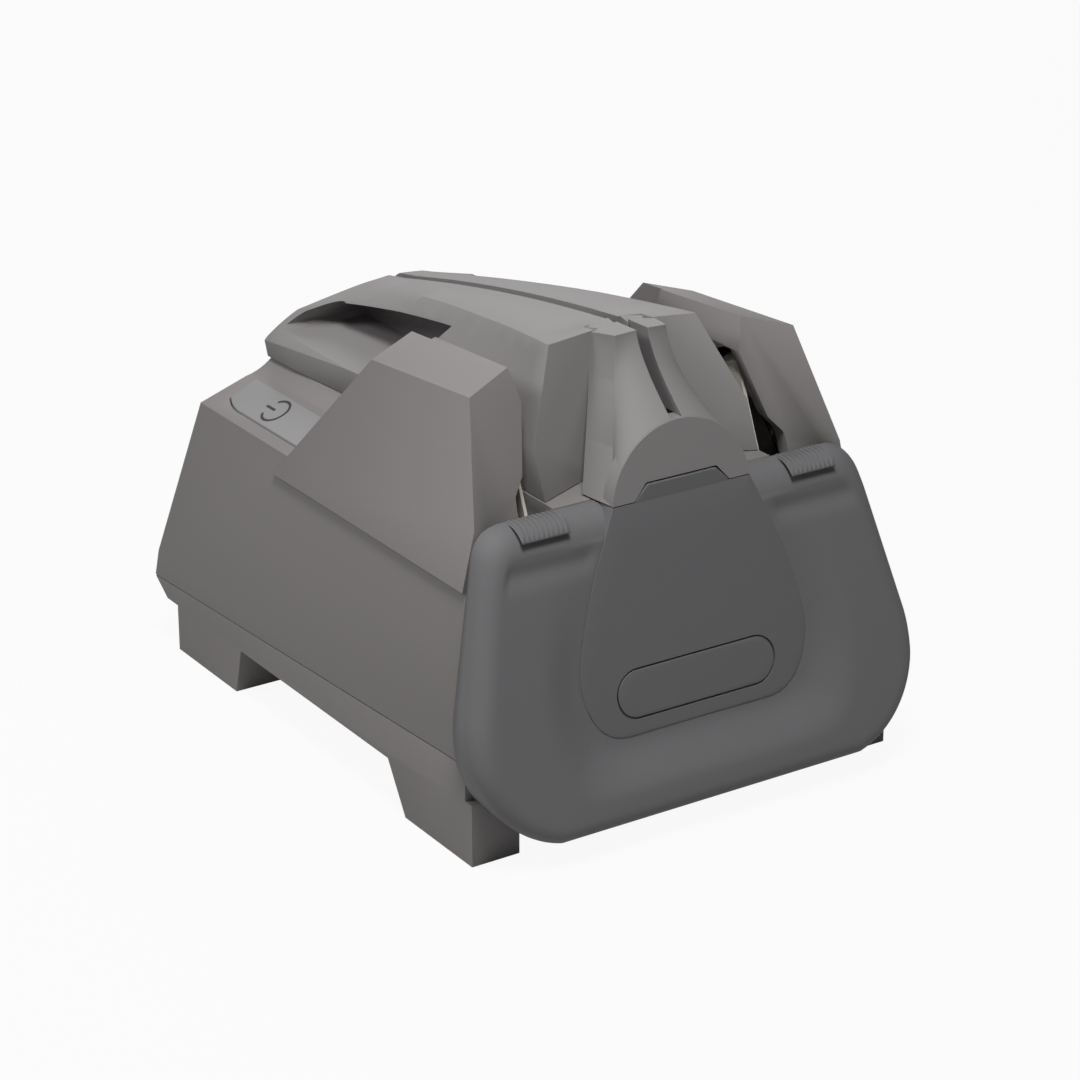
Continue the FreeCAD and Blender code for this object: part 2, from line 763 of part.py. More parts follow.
def hone_rod(side):
    """One ceramic rod of the crossed honing pair, before it is put in place."""
    rod = Part.makeCylinder(hone_rod_radius, hone_rod_length, Vector(0, 0, -hone_rod_length / 2))
    rod.rotate(Vector(0, 0, 0), Vector(0, 1, 0), side * hone_rod_tilt)
    spread = side * (hone_rod_radius + hone_rod_gap)
    rod.translate(Vector(0, hone_rod_y + spread, hone_slot_floor_z + hone_rod_rise))
    return rod


def guide_lug(y, gap):
    """Locating lug under the guide, which drops into the housing's seat."""
    half_length = guide_lug_length / 2 + gap
    half_width = guide_lug_width / 2 + gap
    low_z = guide_bottom_z - guide_lug_height - gap
    return box((-half_length, y - half_width, low_z), (half_length, y + half_width, guide_bottom_z))


def guide_base():
    """Plate that closes the guide from below, with two locating lugs."""
    inner = guide_block(guide_wall + guide_plate_gap, guide_bottom_z - 1)
    low = (-FAR, guide_shoulder_y + guide_front_wall + guide_plate_gap, guide_bottom_z)
    plate = inner.common(box(low, (FAR, FAR, guide_bottom_z + guide_plate_thickness)))
    for y in guide_lug_y:
        plate = plate.fuse(guide_lug(y, 0.0))
    return plate.removeSplitter()


def tab_points(gap):
    """Outline of the cover's tab, which fits a notch in the dome."""
    base = ledge_z + 0.3
    wide = tab_half_width + gap
    narrow = tab_top_half_width + gap
    top = base + tab_height + gap
    return [(-wide, base - 3), (wide, base - 3), (wide, base), (narrow, top), (-narrow, top), (-wide, base)]


def cover_outline(inset):
    """Front view of the cover: drafted sides, large round lower corners and a flat top."""
    top = ledge_z - inset
    a = Vector(-cover_top_half_width + inset, 0, top)
    b = Vector(-cover_shoulder_half_width + inset, 0, cover_shoulder_z)
    c = Vector(-cover_side_half_width + inset + 0.1, 0, cover_side_z + 2)
    d = Vector(-cover_side_half_width + inset + 0.3, 0, cover_side_z - 4)
    e = Vector(-cover_corner[0] + inset * 0.7, 0, cover_corner[1] + inset * 0.7)
    f = Vector(-cover_bottom_half_width, 0, cover_bottom_z + inset)
    g, h, i, j, k, m = [Vector(-p.x, 0, p.z) for p in (f, e, d, c, b, a)]
    edges = [Part.makeLine(a, b), Part.Arc(b, c, d).toShape(), Part.Arc(d, e, f).toShape()]
    edges.append(Part.makeLine(f, g))
    edges.append(Part.Arc(g, h, i).toShape())
    edges.append(Part.Arc(i, j, k).toShape())
    edges.append(Part.makeLine(k, m))
    edges.append(Part.makeLine(m, a))
    solid = Part.Face(Part.Wire(edges)).extrude(Vector(0, FAR, 0))
    solid.translate(Vector(0, -FAR / 2, 0))
    return solid


def cover_plane_y(z):
    """Depth of the cover's outer rim face, which comes forward towards its foot."""
    return cover_front_y - cover_front_lean * (cover_front_z - z)


def panel_plane_y(z):
    """Depth of the cover's inset panel, flush with the dome at the top."""
    return panel_top_y - panel_lean * (guide_bottom_z - z)


def cover_side_profile(inset):
    """Side view of the cover: leaning front, bull nose at the top and the housing's front behind."""
    low = cover_bottom_z - 5
    top = ledge_z - inset
    back = -cover_gap if inset == 0 else 10.0
    radius = cover_nose_radius
    nose_z = top - radius
    front = cover_plane_y(nose_z) + inset
    a = Vector(0, cover_plane_y(low) + inset, low)
    b = Vector(0, front, nose_z)
    c = Vector(0, front + radius * 0.35, top - radius * 0.3)
    d = Vector(0, front + radius * 1.25, top)
    e = Vector(0, front_y(top) + back, top)
    f = Vector(0, front_y(seam_front_z) + back, seam_front_z)
    g = Vector(0, base_front_y + back, arch_height + 4.5)
    h = Vector(0, foot_front_y + back, arch_height + 4.5)
    i = Vector(0, foot_front_y + back, low)
    edges = [Part.makeLine(a, b), Part.Arc(b, c, d).toShape()]
    edges += [Part.makeLine(p, q) for p, q in ((d, e), (e, f), (f, g), (g, h), (h, i), (i, a))]
    solid = Part.Face(Part.Wire(edges)).extrude(Vector(FAR, 0, 0))
    solid.translate(Vector(-FAR / 2, 0, 0))
    return solid


def polygon_wire(points, plane):
    """Closed outline of mirrored points on a leaning plane."""
    right = [(x, z) for x, z in points]
    left = [(-x, z) for x, z in reversed(points)]
    corners = [Vector(x, plane(z), z) for x, z in right + left]
    return Part.makePolygon(corners + [corners[0]])


def panel_dish(offset):
    """Shallow dish that sinks the panel into the cover's face, moved back by an offset."""
    inner = [(panel_half_width(dish_top_z), dish_top_z)] + list(panel_points[1:])
    outer = [(inner[0][0] + 1.0, dish_top_z + 0.5)]
    outer += [(x + band_width, z - band_width * share) for (x, z), share in zip(inner[1:3], (0.1, 0.3))]
    outer.append((inner[3][0] + band_width * 0.5, inner[3][1] - band_width))
    inner_wire = polygon_wire(inner, lambda z: panel_plane_y(z) + offset)
    outer_wire = polygon_wire(outer, lambda z: cover_plane_y(z) - 0.3 + offset)
    dish = Part.makeLoft([outer_wire, inner_wire], True, True)
    if dish.Volume < 0:
        dish.reverse()
    return dish


def panel_half_width(z):
    """Half width of the panel above its widest part."""
    (x1, z1), (x2, z2) = panel_points[0], panel_points[1]
    return x1 + (x2 - x1) * (z1 - z) / (z1 - z2)


def panel_head():
    """Upper part of the panel, which stands a little proud and runs into the tab."""
    points = [(panel_half_width(dish_top_z), dish_top_z), (panel_half_width(ledge_z), ledge_z)]
    points += [(-x, z) for x, z in reversed(points)]
    front = half_space((0, panel_plane_y(ledge_z), ledge_z), (0, -1, -panel_lean))
    back = half_space((0, panel_plane_y(ledge_z) + cover_wall + 1.0, ledge_z), (0, -1, -panel_lean))
    return prism(points, "Y", -FAR / 2, FAR / 2).common(back).cut(front)


def belt_cover():
    """Belt cover shell with its bull nose, sunk panel and tab."""
    outer = cover_outline(0.0).common(cover_side_profile(0.0)).cut(panel_dish(0.0))
    inner = cover_outline(cover_wall).common(cover_side_profile(cover_wall)).cut(panel_dish(cover_wall))
    tab = prism(tab_points(0.0), "Y", dome_front_y, dome_front_y + cover_wall)
    shell = outer.cut(inner).fuse(panel_head()).fuse(tab)
    return shell.cut(label_recess_cut()).removeSplitter()


def label_outline(radius, low, high):
    """Upright capsule on the panel between two depths."""
    length = label_half_length - label_radius
    core = box((-length, low, label_z - radius), (length, high, label_z + radius))
    for x in (-length, length):
        core = core.fuse(cylinder_y(radius, x, label_z, low, high))
    return core.removeSplitter()


def label_recess_cut():
    """Shallow recess for the blank label plate."""
    depth = panel_plane_y(label_z) + label_recess
    capsule = label_outline(label_radius, -FAR / 4, depth + 3)
    skin = half_space((0, panel_plane_y(label_z) + label_recess, label_z), (0, -1, -panel_lean))
    return capsule.common(skin)


def label_plate():
    """Blank label plate that sits in the capsule recess."""
    capsule = label_outline(label_radius - 0.5, -FAR / 4, FAR / 4)
    back = half_space((0, panel_plane_y(label_z) + label_recess, label_z), (0, -1, -panel_lean))
    front = half_space((0, panel_plane_y(label_z) + 0.1, label_z), (0, -1, -panel_lean))
    return capsule.common(back).cut(front)


def thumb_grips():
    """Two rows of grip ribs on the cover's ledge."""
    ribs = []
    rear = front_y(ledge_z) - cover_gap - 0.4
    for side in (-1, 1):
        for index in range(grip_count):
            x = side * (grip_centre + (index - (grip_count - 1) / 2) * grip_pitch)
            low = (x - grip_width / 2, rear - grip_length, ledge_z)
            ribs.append(box(low, (x + grip_width / 2, rear, ledge_z + grip_height)))
    return ribs


def belt_path(circles, offset):
    """Closed loop of straight runs and arcs round circles given counter-clockwise as (x, z, radius)."""
    tangents = []
    for (x1, z1, r1), (x2, z2, r2) in zip(circles, circles[1:] + circles[:1]):
        span = math.hypot(x2 - x1, z2 - z1)
        dx = (x2 - x1) / span
        dz = (z2 - z1) / span
        sine = (r1 - r2) / span
        cosine = math.sqrt(1 - sine * sine)
        nx = dx * sine + dz * cosine
        nz = dz * sine - dx * cosine
        start = Vector(x1 + nx * (r1 + offset), 0, z1 + nz * (r1 + offset))
        end = Vector(x2 + nx * (r2 + offset), 0, z2 + nz * (r2 + offset))
        tangents.append((start, end, Vector(nx, 0, nz)))
    edges = []
    for index, (start, end, normal) in enumerate(tangents):
        after = tangents[(index + 1) % len(tangents)]
        x, z, radius = circles[(index + 1) % len(circles)]
        middle = normal + after[2]
        if middle.Length < 0.05:
            middle = Vector(-normal.z, 0, normal.x)
        middle.normalize()
        edges.append(Part.makeLine(start, end))
        top = Vector(x, 0, z) + middle * (radius + offset)
        edges.append(Part.Arc(end, top, after[0]).toShape())
    return Part.Wire(edges)


def belt_band(circles, gap, thickness, low, high):
    """Flat belt round circles, with a running gap inside."""
    outer = Part.Face(belt_path(circles, gap + thickness)).extrude(Vector(0, high - low, 0))
    inner = Part.Face(belt_path(circles, gap)).extrude(Vector(0, high - low, 0))
    band = outer.cut(inner)
    band.translate(Vector(0, low, 0))
    return band


def idler_x():
    """Lateral place of the right idler, so that the belt's inner run lies in the knife slot."""
    return belt_inner_half_width + belt_thickness + belt_running_gap + idler_radius


def wheel_x():
    """Lateral place of the right drive wheel, so that the belt's inner run is straight."""
    return belt_inner_half_width + belt_thickness + belt_running_gap + wheel_radius


def belt_span():
    """Depth limits of the abrasive belts in the drive's own frame."""
    return (belt_depth, belt_depth + belt_width)


def abrasive_belt():
    """Right abrasive belt over its idler and drive wheel."""
    circles = [(wheel_x(), wheel_z, wheel_radius), (idler_x(), idler_z, idler_radius)]
    low, high = belt_span()
    return belt_band(circles, belt_running_gap, belt_thickness, low, high)


def timing_belt():
    """Toothed drive belt round the motor pulley and both wheel hubs."""
    circles = [(-wheel_x(), wheel_z, hub_radius), (wheel_x(), wheel_z, hub_radius)]
    circles.append((0, motor_z, pulley_radius))
    low = timing_depth
    return belt_band(circles, belt_running_gap, timing_thickness, low, low + timing_width)


def drive_wheel():
    """Right drive wheel, crowned by two rims, with its toothed hub and a bore for the axle."""
    low, high = belt_span()
    x = wheel_x()
    wheel = cylinder_y(wheel_radius, x, wheel_z, low - 0.8, high + 0.8)
    recess = tube_y(wheel_radius - 2.0, 5.0, x, wheel_z, low - 1.8, low + 2.2)
    hub = cylinder_y(hub_radius - 0.6, x, wheel_z, high + 0.8, timing_depth + timing_width + 0.4)
    bore = cylinder_y(axle_radius + running_clearance, x, wheel_z, low - 5, FAR / 4)
    return wheel.cut(recess).fuse(hub).cut(bore)


def wheel_axle():
    """Right wheel axle, fixed in the drive plate, with a retaining head at its front."""
    low, high = belt_span()
    x = wheel_x()
    axle = cylinder_y(axle_radius, x, wheel_z, low - 1.5, plate_depth + plate_thickness)
    head = cylinder_y(axle_radius + 1.5, x, wheel_z, low - 2.9, low - 1.1)
    return axle.fuse(head)


def idler():
    """Right idler roller with its bore."""
    low, high = belt_span()
    bore_radius = idler_pin_radius + running_clearance
    return tube_y(idler_radius, bore_radius, idler_x(), idler_z, low - 0.4, high + 0.2)


def arm_pivot_x():
    """Lateral place of the right tension arm's pivot."""
    return idler_x() + arm_offset


def tension_arm():
    """Right tension arm with its pivot eye and the idler pin."""
    low, high = belt_span()
    front = arm_depth
    rear = arm_depth + arm_thickness
    half = arm_width / 2
    px = arm_pivot_x()
    x = idler_x()
    bar = prism([(px - half, arm_pivot_z), (px + half, arm_pivot_z), (x + half * 0.8, idler_z),
                 (x - half * 0.8, idler_z)], "Y", front, rear)
    bar = bar.fuse(cylinder_y(half, px, arm_pivot_z, front, rear))
    bar = bar.fuse(cylinder_y(half * 0.8, x, idler_z, front, rear))
    bar = bar.cut(cylinder_y(pivot_radius + running_clearance, px, arm_pivot_z, front - 1, rear + 1))
    pin = cylinder_y(idler_pin_radius, x, idler_z, low - 1.2, rear)
    head = cylinder_y(idler_pin_radius + 1.0, x, idler_z, low - 1.6, low - 0.6)
    return bar.fuse(pin).fuse(head).removeSplitter()


def arm_bracket():
    """Bracket that stands up from the drive plate and carries the right arm's pivot pin."""
    px = arm_pivot_x()
    front = arm_depth + arm_thickness + 0.3
    lug_low = (px - bracket_half_width, front, plate_top_z - plate_corner)
    lug_high = (px + bracket_half_width, plate_depth + plate_thickness, arm_pivot_z + bracket_half_width)
    lug = box(lug_low, lug_high)
    pin = cylinder_y(pivot_radius, px, arm_pivot_z, arm_depth - 0.6, front + 1)
    head = cylinder_y(pivot_radius + 1.0, px, arm_pivot_z, arm_depth - 1.5, arm_depth - 0.3)
    return lug.fuse(pin).fuse(head)


def drive_plate():
    """Plate that carries the motor, both axles and both arm brackets."""
    front = plate_depth
    rear = plate_depth + plate_thickness
    points = [(-plate_half_width, plate_bottom_z), (plate_half_width, plate_bottom_z)]
    points.append((plate_half_width, plate_top_z - plate_corner))
    points.append((plate_half_width - plate_corner, plate_top_z))
    points.append((-plate_half_width + plate_corner, plate_top_z))
    points.append((-plate_half_width, plate_top_z - plate_corner))
    plate = prism(points, "Y", front, rear)
    plate = plate.fuse(both_sides(arm_bracket()))
    for x in (-wheel_x(), wheel_x()):
        plate = plate.cut(cylinder_y(axle_radius, x, wheel_z, front - 1, rear + 1))
    plate = plate.cut(cylinder_y(bearing_radius + 0.6, 0, motor_z, front - 1, rear + 1))
    return plate.removeSplitter()


def plate_feet():
    """Two posts that stand the leaning drive plate on the base's floor."""
    posts = []
    half = post_width / 2
    for x in (-post_x, post_x):
        low = (x - half, post_y - post_length / 2, arch_height + floor_wall)
        posts.append(box(low, (x + half, post_y + post_length / 2, post_top_z)))
    joined = posts[0].fuse(posts[1])
    rear = plate_depth + plate_thickness
    behind = leaned(box((-FAR, rear, -FAR), (FAR, rear + FAR, plate_top_z - post_width)))
    return joined.common(behind)


def motor_front():
    """Depth of the motor's front face, against the plate."""
    return plate_depth + plate_thickness


def motor_can():
    """Motor can, a cup that is open at the rear."""
    low = motor_front()
    high = low + motor_length
    can = cylinder_y(motor_radius, 0, motor_z, low, high)
    can = can.cut(cylinder_y(motor_radius - motor_wall, 0, motor_z, low + motor_wall, high + 1))
    nose_ring = cylinder_y(bearing_radius + 0.5, 0, motor_z, low - 2.0, low)
    can = can.fuse(nose_ring)
    return can.cut(cylinder_y(bearing_radius, 0, motor_z, low - 5, low + motor_wall + 1))


def motor_magnets():
    """Pair of curved magnets inside the can."""
    low = motor_front() + magnet_start
    high = low + armature_length + 0.5
    outer = motor_radius - motor_wall
    ring = tube_y(outer, outer - magnet_thickness, 0, motor_z, low, high)
    gap = box((-3.0, 0, -FAR), (3.0, FAR, FAR))
    return ring.cut(gap)


def motor_bearing(front):
    """Sleeve bearing for the rotor, at the front or the rear."""
    low = motor_front() - 2.0 if front else motor_front() + motor_length - 1.0
    return tube_y(bearing_radius, shaft_radius + running_clearance, 0, motor_z, low, low + bearing_length)


def motor_end_bell():
    """Plastic end bell that closes the can and holds the rear bearing and the brushes."""
    low = motor_front() + motor_length
    bell = cylinder_y(motor_radius, 0, motor_z, low, low + end_bell_thickness)
    spigot_radius = motor_radius - motor_wall
    spigot = tube_y(spigot_radius, spigot_radius - motor_wall, 0, motor_z, low - spigot_length, low)
    boss = cylinder_y(bearing_radius + 1.5, 0, motor_z, low - 2.0, low + 5.0)
    bell = bell.fuse(spigot).fuse(boss)
    bell = bell.cut(cylinder_y(shaft_radius + 0.4, 0, motor_z, low - 5, low + 9))
    return bell.cut(cylinder_y(bearing_radius, 0, motor_z, low - 3, low + bearing_length - 1.0))


def brushes():
    """Two carbon brushes in the end bell, beside the commutator."""
    low = commutator_low() + 1.0
    high = low + commutator_length - 2.0
    reach = motor_radius - 2 * motor_wall - brush_gap
    block = box((commutator_radius + brush_gap, low, motor_z - brush_half_height),
                (reach, high, motor_z + brush_half_height))
    return (block, mirrored(block))


def commutator_low():
    """Depth where the commutator starts."""
    return motor_front() + motor_length - spigot_length - commutator_length - 1.0


def armature():
    """Rotor with its laminated core, windings' outer form, commutator and shaft."""
    low = motor_front() + armature_start
    shaft_end = motor_front() + motor_length + end_bell_thickness + 0.5
    shaft = cylinder_y(shaft_radius, 0, motor_z, timing_depth - 1.5, shaft_end)
    core = cylinder_y(armature_radius, 0, motor_z, low, low + armature_length)
    reach = armature_radius - slot_radius
    for index in range(rotor_slots):
        angle = math.radians((index + 0.5) * 360.0 / rotor_slots)
        x = math.cos(angle) * reach
        z = motor_z + math.sin(angle) * reach
        core = core.cut(cylinder_y(slot_radius + 0.1, x, z, low - 1, low + armature_length + 1))
    start = commutator_low()
    commutator = cylinder_y(commutator_radius, 0, motor_z, start, start + commutator_length)
    link = cylinder_y(commutator_radius - 1.5, 0, motor_z, low + armature_length, start)
    return shaft.fuse(core).fuse(commutator).fuse(link).removeSplitter()


def motor_pulley():
    """Toothed pulley pressed on the rotor's front end."""
    low = timing_depth - 0.6
    high = timing_depth + timing_width + 0.4
    pulley = tube_y(pulley_radius - 0.5, shaft_radius, 0, motor_z, low, high)
    return pulley.fuse(tube_y(pulley_radius + 1.2, shaft_radius, 0, motor_z, low - 1.0, low - 0.4))


def coil_spring(radius, wire, height, turns):
    """Plain round coil along +Z from the origin."""
    pitch = height / turns
    helix = Part.makeHelix(pitch, height, radius)
    ring = Part.Wire(Part.Edge(Part.Circle(Vector(radius, 0, 0), Vector(0, 1, 0), wire)))
    return Part.Wire(helix).makePipeShell([ring], True, True)


def arm_spring():
    """Right tension spring, between the arm and the housing's inner wall."""
    px = arm_pivot_x()
    spring = coil_spring(spring_radius, spring_wire_radius, spring_length, spring_turns)
    spring.rotate(Vector(0, 0, 0), Vector(0, 1, 0), 90)
    spring.translate(Vector(px + spring_seat_x, arm_depth + arm_thickness / 2, arm_pivot_z + spring_seat_z))
    return spring


def board_z():
    """Top of the circuit board under the button."""
    return stem_base_z() - button_travel - 0.2 - switch_height


def circuit_board():
    """Circuit board on posts under the power button."""
    centre = button_centre(board_z())
    low = (centre.x - board_width / 2, centre.y - board_length / 2, board_z() - board_thickness)
    high = (centre.x + board_width / 2, centre.y + board_length / 2, board_z())
    return box(low, high)


def board_posts():
    """Two posts that carry the board from the base's floor."""
    centre = button_centre(0)
    posts = []
    for side in (-1, 1):
        y = centre.y + side * (board_length / 2 - board_post_inset)
        low = arch_height + floor_wall
        high = board_z() - board_thickness
        posts.append(Part.makeCylinder(board_post_radius, high - low, Vector(centre.x, y, low)))
    return posts


def push_switch():
    """Push switch on the board, right under the button's stem."""
    centre = button_centre(board_z())
    half = switch_size / 2
    top = board_z() + switch_body_height
    body = box((centre.x - half, centre.y - half, board_z()), (centre.x + half, centre.y + half, top))
    key_height = switch_height - switch_body_height
    key = Part.makeCylinder(switch_key_radius, key_height, Vector(centre.x, centre.y, top))
    return body.fuse(key)


def capacitor():
    """Round capacitor that stands on the board."""
    centre = button_centre(board_z())
    place = Vector(centre.x, centre.y + capacitor_offset, board_z())
    return Part.makeCylinder(capacitor_radius, capacitor_length, place)


def button_spring():
    """Return spring round the button's stem."""
    low = board_z() + switch_body_height + button_spring_wire
    height = button_centre_z() - button_plate - low - 2.0
    centre = button_centre(low)
    spring = coil_spring(button_stem_radius + 1.3, button_spring_wire, height, button_spring_turns)
    spring.translate(centre)
    return spring


def write_housing():
    """Housing nodes."""
    save("upper_housing", upper_housing())
    save("lower_housing", lower_housing())
    pads = []
    for span in foot_spans():
        pad = foot_pad(span[0], span[1])
        pads += [pad, mirrored(pad)]
    save("rubber_feet", *pads)
    save("housing_screws", *[base_screw(x, y) for x in (-screw_x, screw_x) for y in screw_y])
    save("cord_inlet_bushing", inlet_bushing())


def write_guide():
    """Knife guide nodes."""
    save("knife_guide", knife_guide())
    save("guide_base_plate", guide_base())
    save("hone_rods", hone_rod(-1), hone_rod(1))


def write_cover():
    """Belt cover nodes."""
    save("belt_cover", belt_cover())
    save("label_plate", label_plate())
    save("thumb_grips", *thumb_grips())


def write_button():
    """Button and electrics nodes."""
    save("power_button", button_cap())
    save("button_spring", button_spring())
    save("circuit_board", circuit_board())
    save("board_posts", *board_posts())
    save("push_switch", push_switch())
    save("capacitor", capacitor())


def write_drive():
    """Belt drive nodes, each leaned back into place."""
    sides = (("right", lambda shape: shape), ("left", mirrored))
    for name, turn in sides:
        save(name + "_abrasive_belt", leaned(turn(abrasive_belt())))
        save(name + "_drive_wheel", leaned(turn(drive_wheel())))
        save(name + "_wheel_axle", leaned(turn(wheel_axle())))
        save(name + "_idler", leaned(turn(idler())))
        save(name + "_tension_arm", leaned(turn(tension_arm())))
        save(name + "_tension_spring", leaned(turn(arm_spring())))
    save("drive_plate", leaned(drive_plate()))
    save("drive_plate_posts", plate_feet())
    save("timing_belt", leaned(timing_belt()))
    save("motor_pulley", leaned(motor_pulley()))
    save("motor_can", leaned(motor_can()))
    save("motor_magnets", leaned(motor_magnets()))
    save("motor_end_bell", leaned(motor_end_bell()))
    save("motor_bearings", leaned(motor_bearing(True)), leaned(motor_bearing(False)))
    save("motor_brushes", *[leaned(block) for block in brushes()])
    save("armature", leaned(armature()))


os.makedirs("parts", exist_ok=True)
write_housing()
write_guide()
write_cover()
write_button()
write_drive()
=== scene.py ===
"""Looks of a countertop electric knife sharpener, laid out as an add-on that runs once as a script.

Metres, +Z up, the belt cover faces -Y. Each moulding of the sharpener is dressed by one operator, from sizes
and colours that a user may change in the panel. The solids that lie inside keep their own meshes.
"""
import json
import math

import bmesh
import bpy
import numpy as np
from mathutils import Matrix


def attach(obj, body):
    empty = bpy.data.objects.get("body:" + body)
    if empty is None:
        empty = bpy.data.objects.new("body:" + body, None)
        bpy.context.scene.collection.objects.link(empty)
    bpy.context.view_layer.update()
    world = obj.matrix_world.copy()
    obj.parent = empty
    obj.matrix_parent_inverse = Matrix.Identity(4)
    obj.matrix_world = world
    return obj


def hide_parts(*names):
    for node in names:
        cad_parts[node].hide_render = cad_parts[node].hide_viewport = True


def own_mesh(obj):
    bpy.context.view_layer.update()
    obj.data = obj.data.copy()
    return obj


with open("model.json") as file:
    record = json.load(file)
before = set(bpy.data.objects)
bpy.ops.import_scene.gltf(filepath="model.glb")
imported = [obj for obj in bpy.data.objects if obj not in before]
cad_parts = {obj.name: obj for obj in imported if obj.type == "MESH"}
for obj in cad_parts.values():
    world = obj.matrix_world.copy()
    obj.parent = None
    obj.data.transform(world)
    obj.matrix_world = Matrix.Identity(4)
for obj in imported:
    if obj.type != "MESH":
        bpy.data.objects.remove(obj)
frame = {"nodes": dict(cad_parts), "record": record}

bl_info = {
    "name": "Knife sharpener looks",
    "version": (1, 0, 0),
    "blender": (4, 5, 0),
    "location": "3D View > Sidebar > Sharpener",
    "description": "Dresses the solids of an electric knife sharpener as moulded plastic, rubber and steel",
    "category": "Object",
}

# One millimetre, and the distance within which points are joined, in metres
MM = 0.001
WELD = 2e-6

# Degrees below which faces count as one flat face, and above which an edge is rounded
FLAT_ANGLE = 0.6
SHARP_ANGLE = 32
BEVEL_SEGMENTS = 2

# Edge radii of the smaller pieces, as shares of the moulded edge's radius
BUTTON_EDGE = 0.8
SMALL_EDGE = 0.6

# Most of an outline's edge that the bend at one of its ends may take up
BEND_SHARE = 0.48

# Size of the patches that colour and gloss drift over, in millimetres
PATCH = 28.0


def linear(code):
    """Turn an sRGB hex colour into the linear colour that a shader takes."""
    parts = [int(code[i:i + 2], 16) / 255 for i in (1, 3, 5)]
    return [p / 12.92 if p <= 0.04045 else ((p + 0.055) / 1.055) ** 2.4 for p in parts] + [1.0]


class MouldingSizes(bpy.types.PropertyGroup):
    """Sizes that the mouldings are finished with."""

    edge_radius: bpy.props.FloatProperty(
        name="Edge radius", description="Radius of the moulded edges", default=0.0006, unit="LENGTH")
    cover_edge: bpy.props.FloatProperty(
        name="Cover edge", description="Radius that the cover rolls back with at its sides", default=0.006,
        unit="LENGTH")
    nose_radius: bpy.props.FloatProperty(
        name="Bull nose", description="Radius of the cover's rounded top edge", default=0.0075, unit="LENGTH")
    rib_count: bpy.props.IntProperty(
        name="Grip ribs", description="Ribs in each thumb grip on the cover's ledge", default=10)
    rib_height: bpy.props.FloatProperty(
        name="Rib height", description="Height of the thumb ribs over the ledge", default=0.0007,
        unit="LENGTH")
    grain_size: bpy.props.FloatProperty(
        name="Grain", description="Size of the moulded grain on matte plastic", default=0.0004, unit="LENGTH")


class MouldingColours(bpy.types.PropertyGroup):
    """Colours of the parts that show."""

    housing: bpy.props.StringProperty(
        name="Housing", description="Warm dark grey of the housing, as sRGB hex", default="#433c3a")
    guide: bpy.props.StringProperty(
        name="Knife guide", description="Grey of the knife guide, as sRGB hex", default="#413c3c")
    cover: bpy.props.StringProperty(
        name="Belt cover", description="Neutral dark grey of the belt cover, as sRGB hex", default="#4b4c52")
    button: bpy.props.StringProperty(
        name="Power button", description="Grey of the power button, as sRGB hex", default="#4e4949")
    abrasive: bpy.props.StringProperty(
        name="Abrasive belt", description="Pale tan of the abrasive cloth, as sRGB hex", default="#d9d2c4")
    floor: bpy.props.StringProperty(
        name="Floor", description="Pale floor under the white glow, as sRGB hex", default="#bdbdbd")


def sizes():
    """The sizes set in the panel."""
    return bpy.context.scene.sharpener_sizes


def colours():
    """The colours set in the panel."""
    return bpy.context.scene.sharpener_colours


def add_node(tree, kind, values=None, links=None, **settings):
    """Add one shader node with its settings, its plain input values and the links into it."""
    node = tree.nodes.new(kind)
    for key, value in settings.items():
        setattr(node, key, value)
    for socket, value in (values or {}).items():
        node.inputs[socket].default_value = value
    for socket, source in (links or {}).items():
        tree.links.new(source, node.inputs[socket])
    return node


